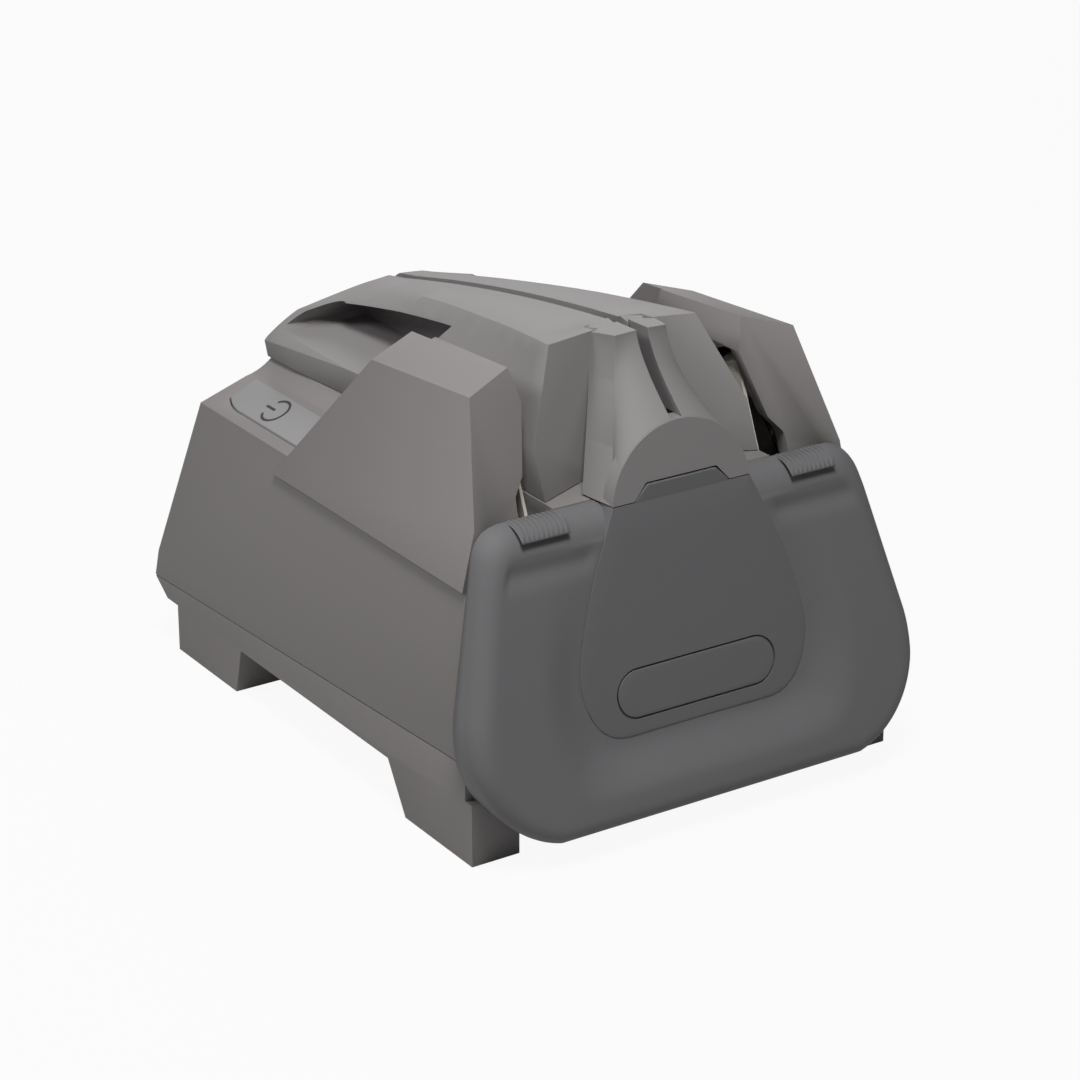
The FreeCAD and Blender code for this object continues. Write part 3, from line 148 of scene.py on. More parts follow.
def finish_material(name, colour, roughness, metallic=0.0, grain=0.4, depth=0.01, spread=0.05, tint=0.04,
                    edge_highlight=0.0, coat=0.0, specular=0.3):
    """Build a surface finish. Grain and depth are millimetres; spread and tint vary roughness and colour.

    The bump is fine noise at the grain's size. Roughness and colour drift with a broad noise, which keeps
    large faces from looking dead flat. The edge highlight paints a paler line along sharp edges: a painted
    highlight.
    """
    material = bpy.data.materials.new(name)
    material.use_nodes = True
    tree = material.node_tree
    tree.nodes.clear()
    place = add_node(tree, "ShaderNodeTexCoord").outputs["Object"]
    fine = add_node(tree, "ShaderNodeTexNoise", {"Scale": 1 / (grain * MM), "Detail": 3.0, "Roughness": 0.55},
                    {"Vector": place}).outputs["Fac"]
    broad = add_node(tree, "ShaderNodeTexNoise", {"Scale": 1 / (PATCH * MM), "Detail": 4.0, "Roughness": 0.6},
                     {"Vector": place}).outputs["Fac"]
    base = linear(colour)
    dark = [c * (1 - tint) for c in base[:3]] + [1.0]
    light = [min(1.0, c * (1 + tint)) for c in base[:3]] + [1.0]
    tone = add_node(tree, "ShaderNodeMix", {"A": dark, "B": light}, {"Factor": broad},
                    data_type="RGBA").outputs["Result"]
    rough = add_node(tree, "ShaderNodeMapRange",
                     {"From Min": 0.3, "From Max": 0.7, "To Min": max(0.02, roughness - spread),
                      "To Max": min(1.0, roughness + spread)}, {"Value": broad}).outputs["Result"]
    # Painted highlight: sharp edges, found by pointiness, are coloured paler where they would catch the light
    if edge_highlight:
        point = add_node(tree, "ShaderNodeNewGeometry").outputs["Pointiness"]
        edge = add_node(tree, "ShaderNodeMapRange",
                        {"From Min": 0.515, "From Max": 0.56, "To Min": 0.0, "To Max": edge_highlight},
                        {"Value": point}).outputs["Result"]
        pale = [min(1.0, c * 1.7 + 0.01) for c in base[:3]] + [1.0]
        tone = add_node(tree, "ShaderNodeMix", {"B": pale}, {"Factor": edge, "A": tone},
                        data_type="RGBA").outputs["Result"]
    bump = add_node(tree, "ShaderNodeBump", {"Strength": 1.0, "Distance": depth * MM}, {"Height": fine})
    shader = add_node(tree, "ShaderNodeBsdfPrincipled",
                      {"Metallic": metallic, "Coat Weight": coat, "Specular IOR Level": specular},
                      {"Base Color": tone, "Roughness": rough, "Normal": bump.outputs["Normal"]})
    add_node(tree, "ShaderNodeOutputMaterial", None, {"Surface": shader.outputs["BSDF"]})
    return material


def finish_for(slot):
    """Make the finish of one of the sharpener's materials, once, and return it."""
    if slot in bpy.data.materials:
        return bpy.data.materials[slot]
    shade = colours()
    grain = sizes().grain_size / MM
    # Where a finish has an edge highlight, its sharp edges get a painted highlight: a paler line
    finishes = {
        # Spark-eroded ABS: a dry, even grey with faint grain, and thin painted highlights along its edges
        "housing_plastic": dict(colour=shade.housing, roughness=0.36, grain=grain, depth=0.012, edge_highlight=0.3),
        # Grained ABS: the pillars and nose look finely pebbled, coarser and deeper than the housing
        "guide_plastic": dict(colour=shade.guide, roughness=0.38, grain=grain * 1.6, depth=0.04, edge_highlight=0.25),
        # Satin ABS: a little smoother, so the bull nose catches a soft highlight
        "cover_plastic": dict(colour=shade.cover, roughness=0.26, grain=grain, depth=0.006, edge_highlight=0.15),
        # Satin ABS of the panel and the blank plate: the cover's plastic, darker than the band as painted
        # shade
        "label_plastic": dict(colour="#303034", roughness=0.36, grain=grain, depth=0.005),
        # Matte ABS of the power button, a shade paler than the deck
        "button_plastic": dict(colour=shade.button, roughness=0.45, grain=grain, depth=0.012, edge_highlight=0.3),
        # Black nylon of the inner mouldings, with a waxy sheen
        "black_plastic": dict(colour="#1b1b1c", roughness=0.5, grain=0.5, depth=0.01),
        # Natural acetal of wheels and rollers: milky and slightly slick
        "wheel_plastic": dict(colour="#c9c8c0", roughness=0.38, grain=0.6, depth=0.006),
        # Moulded rubber feet: soot black and dull
        "foot_rubber": dict(colour="#141414", roughness=0.82, grain=0.7, depth=0.03),
        # Fabric-backed drive rubber: dull black
        "drive_rubber": dict(colour="#161616", roughness=0.75, grain=0.5, depth=0.02),
        # Blackened steel screws: dark with a faint oily gloss
        "screw_steel": dict(colour="#3c3b3a", roughness=0.38, metallic=1.0, grain=0.3, depth=0.004),
        # Zinc-plated sheet: cool and slightly mottled
        "plate_steel": dict(colour="#b9bcc0", roughness=0.36, metallic=1.0, grain=1.2, depth=0.003, tint=0.1),
        # Drawn steel of the motor's can: a duller, mottled grey
        "motor_steel": dict(colour="#a7a9ac", roughness=0.34, metallic=1.0, grain=1.0, depth=0.003, tint=0.1),
        # Ground shafts: the smoothest steel, with a tight highlight
        "axle_steel": dict(colour="#c4c6c9", roughness=0.2, metallic=1.0, grain=0.2, depth=0.002),
        # Pressed steel of the tension arms: plain and even
        "arm_steel": dict(colour="#aeb0b3", roughness=0.35, metallic=1.0, grain=0.8, depth=0.003),
        # Drawn spring wire: bright along its turns
        "spring_steel": dict(colour="#b3b4b6", roughness=0.26, metallic=1.0, grain=0.2, depth=0.002),
        # Sintered brass: warm, with fine pores
        "brass_metal": dict(colour="#b99755", roughness=0.4, metallic=1.0, grain=0.25, depth=0.01),
        # Enamelled copper over laminations
        "armature_copper": dict(colour="#9a5a34", roughness=0.4, metallic=1.0, grain=0.4, depth=0.02,
                                tint=0.15),
        # Sintered ferrite: charcoal, chalky
        "magnet_ferrite": dict(colour="#3a3a3b", roughness=0.7, grain=0.3, depth=0.01),
        # Pressed carbon: near black and close-grained
        "carbon": dict(colour="#222324", roughness=0.5, grain=0.2, depth=0.005),
        # Fired alumina: off-white, hard and close-grained
        "ceramic": dict(colour="#ece7dc", roughness=0.3, grain=0.15, depth=0.003, coat=0.2),
        # Coated abrasive cloth: pale tan grit, the brightest thing in the slots
        "abrasive_cloth": dict(colour=shade.abrasive, roughness=0.85, grain=0.12, depth=0.06, tint=0.1),
        # Glass laminate board under solder mask
        "board_laminate": dict(colour="#1f5a35", roughness=0.4, grain=0.6, depth=0.004, coat=0.3),
        # Shrink sleeve of the capacitor
        "capacitor_sleeve": dict(colour="#20304f", roughness=0.3, grain=1.0, depth=0.004),
    }
    return finish_material(slot, **finishes[slot])


def add_object(name, data):
    """Put a mesh, a lamp or a camera in the scene as an object at the origin."""
    item = bpy.data.objects.new(name, data)
    bpy.context.scene.collection.objects.link(item)
    return item


def dressed_piece(name, mesh, slot, body):
    """Put a mesh in the scene as a piece, with its finish and the body it rides on."""
    mesh.materials.append(finish_for(slot))
    piece = add_object(name, mesh)
    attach(piece, body)
    return piece


def mesh_piece(name, points, faces, slot, body, smooth=True):
    """Turn points in millimetres and faces into a piece, with points joined and normals outward."""
    mesh = bpy.data.meshes.new(name)
    mesh.from_pydata((np.asarray(points, float) * MM).tolist(), [], [list(map(int, f)) for f in faces])
    mesh.update()
    work = bmesh.new()
    work.from_mesh(mesh)
    bmesh.ops.remove_doubles(work, verts=work.verts, dist=WELD)
    bmesh.ops.recalc_face_normals(work, faces=work.faces)
    work.to_mesh(mesh)
    work.free()
    if smooth:
        mesh.shade_smooth()
    return dressed_piece(name, mesh, slot, body)


def grid_faces(rows, columns, wrap=False):
    """Quads of a grid of points stored row by row; wrap joins the last column to the first."""
    span = columns if wrap else columns - 1
    i, j = np.meshgrid(np.arange(rows - 1), np.arange(span), indexing="ij")
    after = (j + 1) % columns
    row = i * columns
    next_row = row + columns
    return np.stack([row + j, row + after, next_row + after, next_row + j], -1).reshape(-1, 4)


def ring_faces(rings, columns, first=True, last=True):
    """Quads between closed rings of points, and a face over the first and the last ring where asked."""
    faces = grid_faces(rings, columns, wrap=True).tolist()
    if first:
        faces.append(list(range(columns)))
    if last:
        faces.append(list(range((rings - 1) * columns, rings * columns)))
    return faces


def closed_slab(name, front, back, slot, body):
    """Piece between two grids of points of one size: both grids, and a strip of quads round their edges."""
    rows, columns = front.shape[:2]
    quads = grid_faces(rows, columns)
    far = rows * columns
    edge = np.concatenate([np.arange(columns), np.arange(1, rows) * columns + columns - 1,
                           far - 2 - np.arange(columns - 1), np.arange(rows - 2, 0, -1) * columns])
    after = np.roll(edge, -1)
    strip = np.stack([edge, after, after + far, edge + far], -1)
    faces = np.concatenate([quads, quads[:, ::-1] + far, strip])
    points = np.concatenate([front.reshape(-1, 3), back.reshape(-1, 3)])
    return mesh_piece(name, points, faces, slot, body)


def three_point_arc(a, b, c, count):
    """Points of the circle through three points of a plane, from the first to the last."""
    a, b, c = (np.array(p, float) for p in (a, b, c))
    chords = np.array([b - a, c - a]) * 2
    centre = np.linalg.solve(chords, [b @ b - a @ a, c @ c - a @ a])
    angles = np.unwrap([math.atan2(*(p - centre)[::-1]) for p in (a, b, c)])
    share = (angles[1] - angles[0]) / (angles[2] - angles[0])
    turn = np.interp(np.linspace(0, 1, count), [0, share, 1], angles)
    radius = np.linalg.norm(a - centre)
    return centre + radius * np.stack([np.cos(turn), np.sin(turn)], -1)


def bend(start, corner, end, count):
    """Points of a quadratic curve that leaves the start towards the corner and comes from it to the end."""
    t = np.linspace(0, 1, count)[:, None]
    return (1 - t) ** 2 * start + 2 * t * (1 - t) * corner + t ** 2 * end


def resample(points, count):
    """Points spaced evenly along a closed line."""
    points = np.vstack([points, points[:1]])
    steps = np.r_[0, np.cumsum(np.linalg.norm(np.diff(points, axis=0), axis=1))]
    places = np.linspace(0, steps[-1], count, endpoint=False)
    return np.stack([np.interp(places, steps, points[:, k]) for k in range(points.shape[1])], -1)


def mirrored_loop(corners, bends, count):
    """Closed outline round the right half's corners and their mirror images, each bent over its reach."""
    points = np.array(corners + [(-x, z) for x, z in reversed(corners)], float)
    out = []
    for before, corner, after, most in zip(np.roll(points, 1, 0), points, np.roll(points, -1, 0),
                                           bends + bends[::-1]):
        to_before = before - corner
        to_after = after - corner
        reach = min(most, BEND_SHARE * np.linalg.norm(to_before), BEND_SHARE * np.linalg.norm(to_after))
        start = corner + to_before / np.linalg.norm(to_before) * reach
        end = corner + to_after / np.linalg.norm(to_after) * reach
        out.append(bend(start, corner, end, count=9))
    return resample(np.vstack(out), count)


def finish_edges(piece, width):
    """Round the sharp edges of a moulding and shade its flat faces flat."""
    bevel = piece.modifiers.new("moulded_edges", "BEVEL")
    bevel.width = width
    bevel.segments = BEVEL_SEGMENTS
    bevel.limit_method = "ANGLE"
    bevel.angle_limit = math.radians(SHARP_ANGLE)
    bevel.harden_normals = True
    bevel.use_clamp_overlap = True


def moulded_copy(node, name, body, slot, radius, reshape=None):
    """Dress one moulding: its solid's surface, joined up, its flat faces merged and its edges rounded.

    Where a reshape is given, it moves the copy's points in millimetres before the edges are rounded.
    """
    work = bmesh.new()
    work.from_mesh(frame["nodes"][node].data)
    bmesh.ops.remove_doubles(work, verts=work.verts, dist=WELD)
    bmesh.ops.dissolve_limit(work, angle_limit=math.radians(FLAT_ANGLE), verts=work.verts, edges=work.edges)
    bmesh.ops.recalc_face_normals(work, faces=work.faces)
    mesh = bpy.data.meshes.new(name)
    work.to_mesh(mesh)
    work.free()
    if reshape:
        points = np.empty(len(mesh.vertices) * 3)
        mesh.vertices.foreach_get("co", points)
        mesh.vertices.foreach_set("co", (reshape(points.reshape(-1, 3) / MM) * MM).ravel())
        mesh.update()
    mesh.materials.clear()
    mesh.shade_smooth()
    piece = dressed_piece(name, mesh, slot, body)
    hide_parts(node)
    finish_edges(piece, radius)


# Solid's nose and dome, where they are drawn back under the flared nose, in millimetres
TUCK_FRONT_Y = -61.0
TUCK_HALF_WIDTH = 24.6
TUCK_BACK = 9.0
TUCK_NARROWING = 0.74
TUCK_SLOT = 3.0
TUCK_TOP_Z = 130.0
TUCK_TOP_DROP = 1.5
ROOF_BACK_Y = -47.0
ROOF_HALF_WIDTH = 10.5
ROOF_Z = 138.4
ROOF_DROP = 1.3


def tuck_nose(points):
    """Draw the solid's plain nose and dome back, and the roof behind them down, under the flared nose."""
    x, y, z = points.T
    across = np.abs(x)
    front = (y < TUCK_FRONT_Y) & (across < TUCK_HALF_WIDTH)
    narrowed = np.where(front & (across > TUCK_SLOT), x * TUCK_NARROWING, x)
    roof = (y > TUCK_FRONT_Y) & (y < ROOF_BACK_Y) & (across > TUCK_SLOT) & (across < ROOF_HALF_WIDTH)
    lowered = z - TUCK_TOP_DROP * (front & (z > TUCK_TOP_Z)) - ROOF_DROP * (roof & (z > ROOF_Z))
    return np.stack([narrowed, np.where(front, y + TUCK_BACK, y), lowered], -1)


class SHARPENER_OT_shells(bpy.types.Operator):
    """Dress the housing, the knife guide and the power button with rounded moulded edges"""

    bl_idname = "sharpener.shells"
    bl_label = "Moulded shells"

    def execute(self, context):
        """Each moulding is a copy of its own solid. The button's spring gets a mesh of its own."""
        radius = sizes().edge_radius
        small = radius * SMALL_EDGE
        moulded_copy("upper_housing", "upper_housing_moulding", "housing", "housing_plastic", radius)
        moulded_copy("lower_housing", "base_moulding", "housing", "housing_plastic", radius)
        moulded_copy("knife_guide", "knife_guide_moulding", "guide", "guide_plastic", radius, tuck_nose)
        moulded_copy("power_button", "power_button_cap", "button", "button_plastic", radius * BUTTON_EDGE)
        moulded_copy("rubber_feet", "foot_pads", "housing", "foot_rubber", small)
        moulded_copy("cord_inlet_bushing", "inlet_bushing", "housing", "black_plastic", small)
        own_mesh(frame["nodes"]["button_spring"])
        return {"FINISHED"}


# Nose and dome of the knife guide, in millimetres
DOME_HALF_WIDTH = 23.9
DOME_FOOT_Z = 97.2
DOME_TOP_Z = 118.0
DOME_FRONT = -83.2
DOME_LEAN = 0.13
DOME_STEP = 0.5
DOME_THICKNESS = 5.0
DOME_COLUMNS = 121
DOME_ROWS = 12
NOTCH_OUTER = 16.5
NOTCH_INNER = 12.2
NOTCH_TOP_Z = 102.0
SLOT_HALF_WIDTH = 1.95
NOSE_TOP = (8.8, -61.6, 138.9)
NOSE_SLOT_TOP = (SLOT_HALF_WIDTH, -62.4, 139.5)
NOSE_BACK_FOOT = (25.5, -70.0, 97.2)
NOSE_BACK_TOP = (11.2, -52.5, 137.9)
SLOT_WALL_AT_FOOT = (0, 14.0, 0)
SLOT_WALL_AT_TOP = (0, 10.0, -0.3)
NOSE_FLARE = 1.5
NOSE_COLUMNS = 40
NOSE_ROWS = 40


def dome_radius():
    """Radius of the dome's edge circle, from half its chord at the foot and its rise over it."""
    rise = DOME_TOP_Z - DOME_FOOT_Z
    return (DOME_HALF_WIDTH ** 2 + rise ** 2) / (2 * rise)


def dome_y(z):
    """Depth of the dome's flat face, which leans back towards its top."""
    return DOME_FRONT + DOME_LEAN * (z - DOME_FOOT_Z)


class SHARPENER_OT_nose(bpy.types.Operator):
    """Make the guide's flared nose, split by the honing slot, and the flat dome at its foot"""

    bl_idname = "sharpener.nose"
    bl_label = "Nose and dome"

    def execute(self, context):
        for side, label in ((-1, "left"), (1, "right")):
            self.nose(side, label)
        self.dome()
        return {"FINISHED"}

    @staticmethod
    def nose(side, label):
        """Half of the nose: from a back edge over a smooth side, round the front to the slot's wall.

        Each column runs from its foot on the dome's edge circle, a step behind its face, to the nose's top.
        Height grows evenly, and the rest follows a power of the share still to go, which gives the hollow
        flare.
        """
        radius = dome_radius()
        foot_turn = math.asin((DOME_FOOT_Z - DOME_TOP_Z + radius) / radius)
        slot_turn = math.acos(SLOT_HALF_WIDTH / radius)
        turn = np.linspace(foot_turn, slot_turn, NOSE_COLUMNS)
        height = DOME_TOP_Z - radius + radius * np.sin(turn)
        feet = np.stack([radius * np.cos(turn), dome_y(height) + DOME_STEP, height], -1)
        share = np.linspace(0, 1, NOSE_COLUMNS)[:, None]
        tops = np.array(NOSE_TOP) * (1 - share) + np.array(NOSE_SLOT_TOP) * share
        feet = np.vstack([NOSE_BACK_FOOT, feet, feet[-1] + SLOT_WALL_AT_FOOT])
        tops = np.vstack([NOSE_BACK_TOP, tops, tops[-1] + SLOT_WALL_AT_TOP])
        up = np.linspace(0, 1, NOSE_ROWS)[:, None]
        left = (1 - up) ** NOSE_FLARE
        x, y = (tops[:, k] + (feet[:, k] - tops[:, k]) * left for k in (0, 1))
        z = feet[:, 2] + (tops[:, 2] - feet[:, 2]) * up
        points = np.stack([x * side, y, z], -1).reshape(-1, 3)
        faces = ring_faces(NOSE_ROWS, len(feet))
        half = mesh_piece(label + "_nose_half", points, faces, "guide_plastic", "guide")
        finish_edges(half, sizes().edge_radius * SMALL_EDGE)

    @staticmethod
    def dome():
        """Flat arch: columns from the notched foot line up to the edge circle, given a depth backwards."""
        x = DOME_HALF_WIDTH * np.sin(np.linspace(-math.pi / 2, math.pi / 2, DOME_COLUMNS))
        radius = dome_radius()
        top = DOME_TOP_Z - radius + np.sqrt(radius ** 2 - x ** 2)
        foot = np.interp(np.abs(x), [NOTCH_INNER, NOTCH_OUTER], [NOTCH_TOP_Z, DOME_FOOT_Z])
        up = np.linspace(0, 1, DOME_ROWS)[:, None]
        z = foot + (np.maximum(top, foot) - foot) * up
        front = np.stack([np.broadcast_to(x, z.shape), dome_y(z), z], -1)
        dome = closed_slab("nose_dome", front, front + [0, DOME_THICKNESS, 0], "guide_plastic", "guide")
        finish_edges(dome, sizes().edge_radius * SMALL_EDGE)


# Belt cover's outline, seen from the front: its right half's turning points, in millimetres
COVER_TOP_CORNER = (64.4, 96.7)
COVER_TOP_BEND = 9.0
COVER_SIDE_FOOT = (76.3, 46.0)
COVER_SIDE_MIDDLE = (77.1, 39.0)
COVER_CORNER_START = (76.9, 33.0)
COVER_CORNER_MIDDLE = (71.2, 19.4)
COVER_CORNER_END = (53.0, 7.4)
COVER_MIDDLE = np.array([0.0, 62.0])
COVER_COLUMNS = 480
ROLL_RINGS = 12
FACE_RINGS = 48

# Belt cover's depths: its rim, its wall, its bull nose and the valley under that, in millimetres
RIM_AT_90 = -83.5
RIM_LEAN = 0.264
COVER_WALL = 2.4
BULL_NOSE_Z = 84.0
BULL_NOSE_RISE = 10.0
LEAST_WALL_RUN = 0.3
VALLEY_Z = 84.0
VALLEY_WIDTH = 3.2
VALLEY_DEPTH = 1.2
VALLEY_START = 4.0

# Housing's front behind the cover: a foot, then a leaning face up to a ledge, in millimetres
FOOT_FRONT_Y = -87.5
FOOT_TOP_Z = 19.9
FRONT_FOOT_Y = -84.0
FRONT_FOOT_Z = 30.5
FRONT_LEAN = 0.155
LEDGE_FRONT_Y = -74.0
HOUSING_GAP = 0.4

# Sunk panel, the band round it and the tab over it, in millimetres
PANEL_AT_97 = -83.1
PANEL_LEAN = 0.165
PANEL_CORNERS = [(23.8, 97.0), (34.9, 71.9), (41.0, 47.0), (33.0, 30.5)]
PANEL_BENDS = (0.4, 14.0, 10.0, 13.0)
PANEL_PROUD = 0.25
PANEL_EDGE = 0.35
PANEL_THICKNESS = (2.2, 6.0)
PANEL_THICKENS_Z = (82.0, 92.0)
PANEL_COLUMNS = 720
PANEL_DIVE = 1.6
DIVE_START = 0.6
DIVE_RUN = 2.4
BAND_CORNERS = [(40.0, 118.0), (51.0, 72.0), (57.0, 45.0), (50.0, 16.5)]
BAND_BENDS = (1.0, 12.0, 14.0, 19.0)
BAND_COLUMNS = 160
TAB_CORNERS = [(16.2, 96.0), (16.2, 97.3), (11.9, 101.5)]
TAB_BENDS = (0.5, 0.5, 0.5)
TAB_MIDDLE = (0.0, 98.5)
TAB_FRONT_Y = -83.15
TAB_THICKNESS = 2.3
TAB_EDGE = 0.3
TAB_COLUMNS = 240

# Capsule recess in the panel and the blank plate that lies in it, in millimetres
CAPSULE_MIDDLE = (0.0, 42.4)
CAPSULE_HALF_LENGTH = 28.0
CAPSULE_HALF_HEIGHT = 7.5
CAPSULE_DEPTH = 0.9
CAPSULE_GROOVE = 0.6
GROOVE_EDGE = 0.1
PLATE_CLEARANCE = 0.05
PLATE_EDGE = 0.2
PLATE_COLUMNS = 360


def rim_y(z):
    """Depth of the cover's rim plane, which comes forward towards its foot."""
    return RIM_AT_90 - RIM_LEAN * (90.0 - z)


def panel_y(z):
    """Depth of the sunk panel's plane, flush with the dome at the top."""
    return PANEL_AT_97 - PANEL_LEAN * (97.0 - z)


def tab_y(z):
    """Depth of the tab's upright face."""
    return np.full_like(z, TAB_FRONT_Y)


def cover_back_y(z):
    """Depth where the cover's side wall ends, just clear of the housing's front."""
    leaning = FRONT_FOOT_Y + FRONT_LEAN * (z - FRONT_FOOT_Z)
    return np.where(z > FOOT_TOP_Z, np.minimum(leaning, LEDGE_FRONT_Y), FOOT_FRONT_Y) - HOUSING_GAP


def on_plane(spot, plane, depth):
    """Points of the front view set at a depth behind a leaning plane."""
    return np.stack([spot[:, 0], plane(spot[:, 1]) + depth, spot[:, 1]], -1)


def cover_outline():
    """Outline of the cover: drafted sides, large round lower corners and a flat top with bent ends."""
    top = np.array(COVER_TOP_CORNER)
    foot = np.array(COVER_SIDE_FOOT)
    start = top - [COVER_TOP_BEND, 0]
    end = top + (foot - top) / np.linalg.norm(foot - top) * COVER_TOP_BEND
    side = np.vstack([bend(start, top, end, count=25),
                      three_point_arc(foot, COVER_SIDE_MIDDLE, COVER_CORNER_START, count=24),
                      three_point_arc(COVER_CORNER_START, COVER_CORNER_MIDDLE, COVER_CORNER_END, count=90)])
    return resample(np.vstack([side, (side * [-1, 1])[::-1]]), COVER_COLUMNS)


def outline_distance(x, z, loop):
    """Signed distance to a rounded convex outline: the largest distance beyond any of its edges."""
    step = np.roll(loop, -1, 0) - loop
    normal = np.stack([step[:, 1], -step[:, 0]], -1) / np.linalg.norm(step, axis=1)[:, None]
    normal *= -np.sign((loop.mean(0) - loop[0]) @ normal[0])
    return (np.stack([x, z], -1) @ normal.T - (loop * normal).sum(1)).max(-1)


def capsule_reach(angle):
    """Distance from the capsule's middle to its edge: its straight side, or the round end past it."""
    across = np.abs(np.cos(angle))
    up = np.maximum(np.abs(np.sin(angle)), 1e-6)
    straight = CAPSULE_HALF_LENGTH - CAPSULE_HALF_HEIGHT
    side = CAPSULE_HALF_HEIGHT / up
    end = straight * across + np.sqrt(np.maximum(CAPSULE_HALF_HEIGHT ** 2 - (straight * up) ** 2, 0))
    return np.where(side * across <= straight, side, end)


def rounded_edge(loop, middle, edge, turns):
    """Rings of a plate's front edge: the loop drawn in and set back along a quarter circle."""
    away = loop - middle
    reach = np.hypot(*away.T)[:, None]
    return [(middle + away * (1 - edge * (1 - np.cos(turn)) / reach), edge * (1 - np.sin(turn)))
            for turn in np.radians(turns)]


def ringed_plate(name, rings, plane, slot, body):
    """Closed plate of rings, each a loop of the front view with its depth behind a leaning plane."""
    points = np.concatenate([on_plane(spot, plane, depth) for spot, depth in rings])
    return mesh_piece(name, points, ring_faces(len(rings), len(rings[0][0])), slot, body)


def plate(name, loop, plane, thickness, edge, middle):
    """Closed plate on a leaning plane, with a rounded front edge.

    Its rings run from the front's middle, over the edge, to the back's middle.
    """
    middle = np.array(middle)
    away = loop - middle
    rings = [(middle + away * share, 0.0) for share in (0.02, 0.3, 0.6, 0.85)]
    rings += rounded_edge(loop, middle, edge, np.linspace(90, 0, 5))
    rings += [(middle + away * share, thickness) for share in (1.0, 0.5, 0.02)]
    return ringed_plate(name, rings, plane, "label_plastic", "cover")


class SHARPENER_OT_cover(bpy.types.Operator):
    """Make the belt cover: a rolled rim and bull nose round a panel that sinks towards its foot"""

    bl_idname = "sharpener.cover"
    bl_label = "Belt cover"

    def execute(self, context):
        """Rings of one closed outline carried inwards: wall, roll, then the face.

        The wall runs forward from the housing. The roll is a quarter circle whose radius grows to the bull
        nose at the top. The face's rings shrink evenly to the middle, at the depth that the face has there.
        """
        outline = cover_outline()
        tangent = np.roll(outline, -1, 0) - np.roll(outline, 1, 0)
        tangent /= np.linalg.norm(tangent, axis=1)[:, None]
        inward = np.stack([-tangent[:, 1], tangent[:, 0]], -1)
        inward *= np.sign(((COVER_MIDDLE - outline) * inward).sum(1))[:, None]
        x, z = outline.T
        lift = np.clip((z - BULL_NOSE_Z) / BULL_NOSE_RISE, 0, 1)
        radius = (sizes().cover_edge + (sizes().nose_radius - sizes().cover_edge) * lift) / MM
        back = cover_back_y(z)
        depth = np.minimum(radius, back - rim_y(z) - LEAST_WALL_RUN)
        rings = [np.stack([x, back, z], -1), np.stack([x, (back + rim_y(z) + depth) / 2, z], -1)]
        for turn in np.radians(np.linspace(0, 90, ROLL_RINGS)):
            spot = outline + inward * (radius * (1 - np.cos(turn)))[:, None]
            rings.append(on_plane(spot, rim_y, depth * (1 - np.sin(turn))))
        last = rings[-1][:, [0, 2]]
        for share in np.linspace(0, 0.99, FACE_RINGS)[1:]:
            spot = last + (COVER_MIDDLE - last) * share
            rings.append(np.stack([spot[:, 0], self.face_y(*spot.T), spot[:, 1]], -1))
        faces = ring_faces(len(rings), COVER_COLUMNS, first=False)
        shell = mesh_piece("cover_shell", np.concatenate(rings), faces, "cover_plastic", "cover")
        solid = shell.modifiers.new("wall", "SOLIDIFY")
        solid.thickness = COVER_WALL * MM
        solid.offset = -1.0
        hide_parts("belt_cover")
        self.panel()
        self.tab()
        return {"FINISHED"}

    @staticmethod
    def face_y(x, z):
        """Depth of the cover's face: the panel's plane inside, the rim's outside, an eased band between.

        The band's share is the distance to the panel over the sum of the distances to the panel and to the
        band's outer edge. A bell-shaped valley lies under the bull nose, and the face dives under the panel.
        """
        inner = outline_distance(x, z, mirrored_loop(PANEL_CORNERS, PANEL_BENDS, BAND_COLUMNS))
        outer = outline_distance(x, z, mirrored_loop(BAND_CORNERS, BAND_BENDS, BAND_COLUMNS))
        share = np.clip(inner / np.maximum(inner - outer, 0.01), 0, 1)
        eased = share * share * (3 - 2 * share)
        dive = PANEL_DIVE * np.clip((-DIVE_START - inner) / DIVE_RUN, 0, 1)
        bell = np.exp(-((z - VALLEY_Z) / VALLEY_WIDTH) ** 2)
        valley = VALLEY_DEPTH * bell * np.clip(inner / VALLEY_START, 0, 1)
        return rim_y(z) * eased + (panel_y(z) + PANEL_PROUD) * (1 - eased) + dive + valley

    @staticmethod
    def panel():
        """Panel on its leaning plane, with a rounded edge and a capsule recess for the blank plate.

        Rings run from the back over the rounded front edge to the capsule, down its wall and across its
        floor. The capsule's ring lies at the same angles round its middle as the outline's points.
        """
        loop = mirrored_loop(PANEL_CORNERS, PANEL_BENDS, PANEL_COLUMNS)
        middle = np.array(CAPSULE_MIDDLE)
        away = loop - middle
        angle = np.arctan2(away[:, 1], away[:, 0])
        capsule = np.stack([np.cos(angle), np.sin(angle)], -1) * capsule_reach(angle)[:, None]
        thickness = np.interp(loop[:, 1], PANEL_THICKENS_Z, PANEL_THICKNESS)
        rings = [(middle + away * share, thickness) for share in (0.02, 0.5, 1.0)]
        rings += rounded_edge(loop, middle, PANEL_EDGE, np.linspace(0, 90, 5))
        inset = rings[-1][0]
        to_capsule = middle + capsule - inset
        rings += [(inset + to_capsule * share, 0.0) for share in (0.2, 0.4, 0.6, 0.8, 0.98, 1.0)]
        rings += [(middle + capsule * share, CAPSULE_DEPTH) for share in (0.995, 0.5, 0.02)]
        panel = ringed_plate("cover_panel", rings, panel_y, "label_plastic", "cover")
        finish_edges(panel, GROOVE_EDGE * MM)

    @staticmethod
    def tab():
        """Tab that stands up from the panel into the dome's notch."""
        loop = mirrored_loop(TAB_CORNERS, TAB_BENDS, TAB_COLUMNS)
        plate("cover_tab", loop, tab_y, TAB_THICKNESS, TAB_EDGE, TAB_MIDDLE)


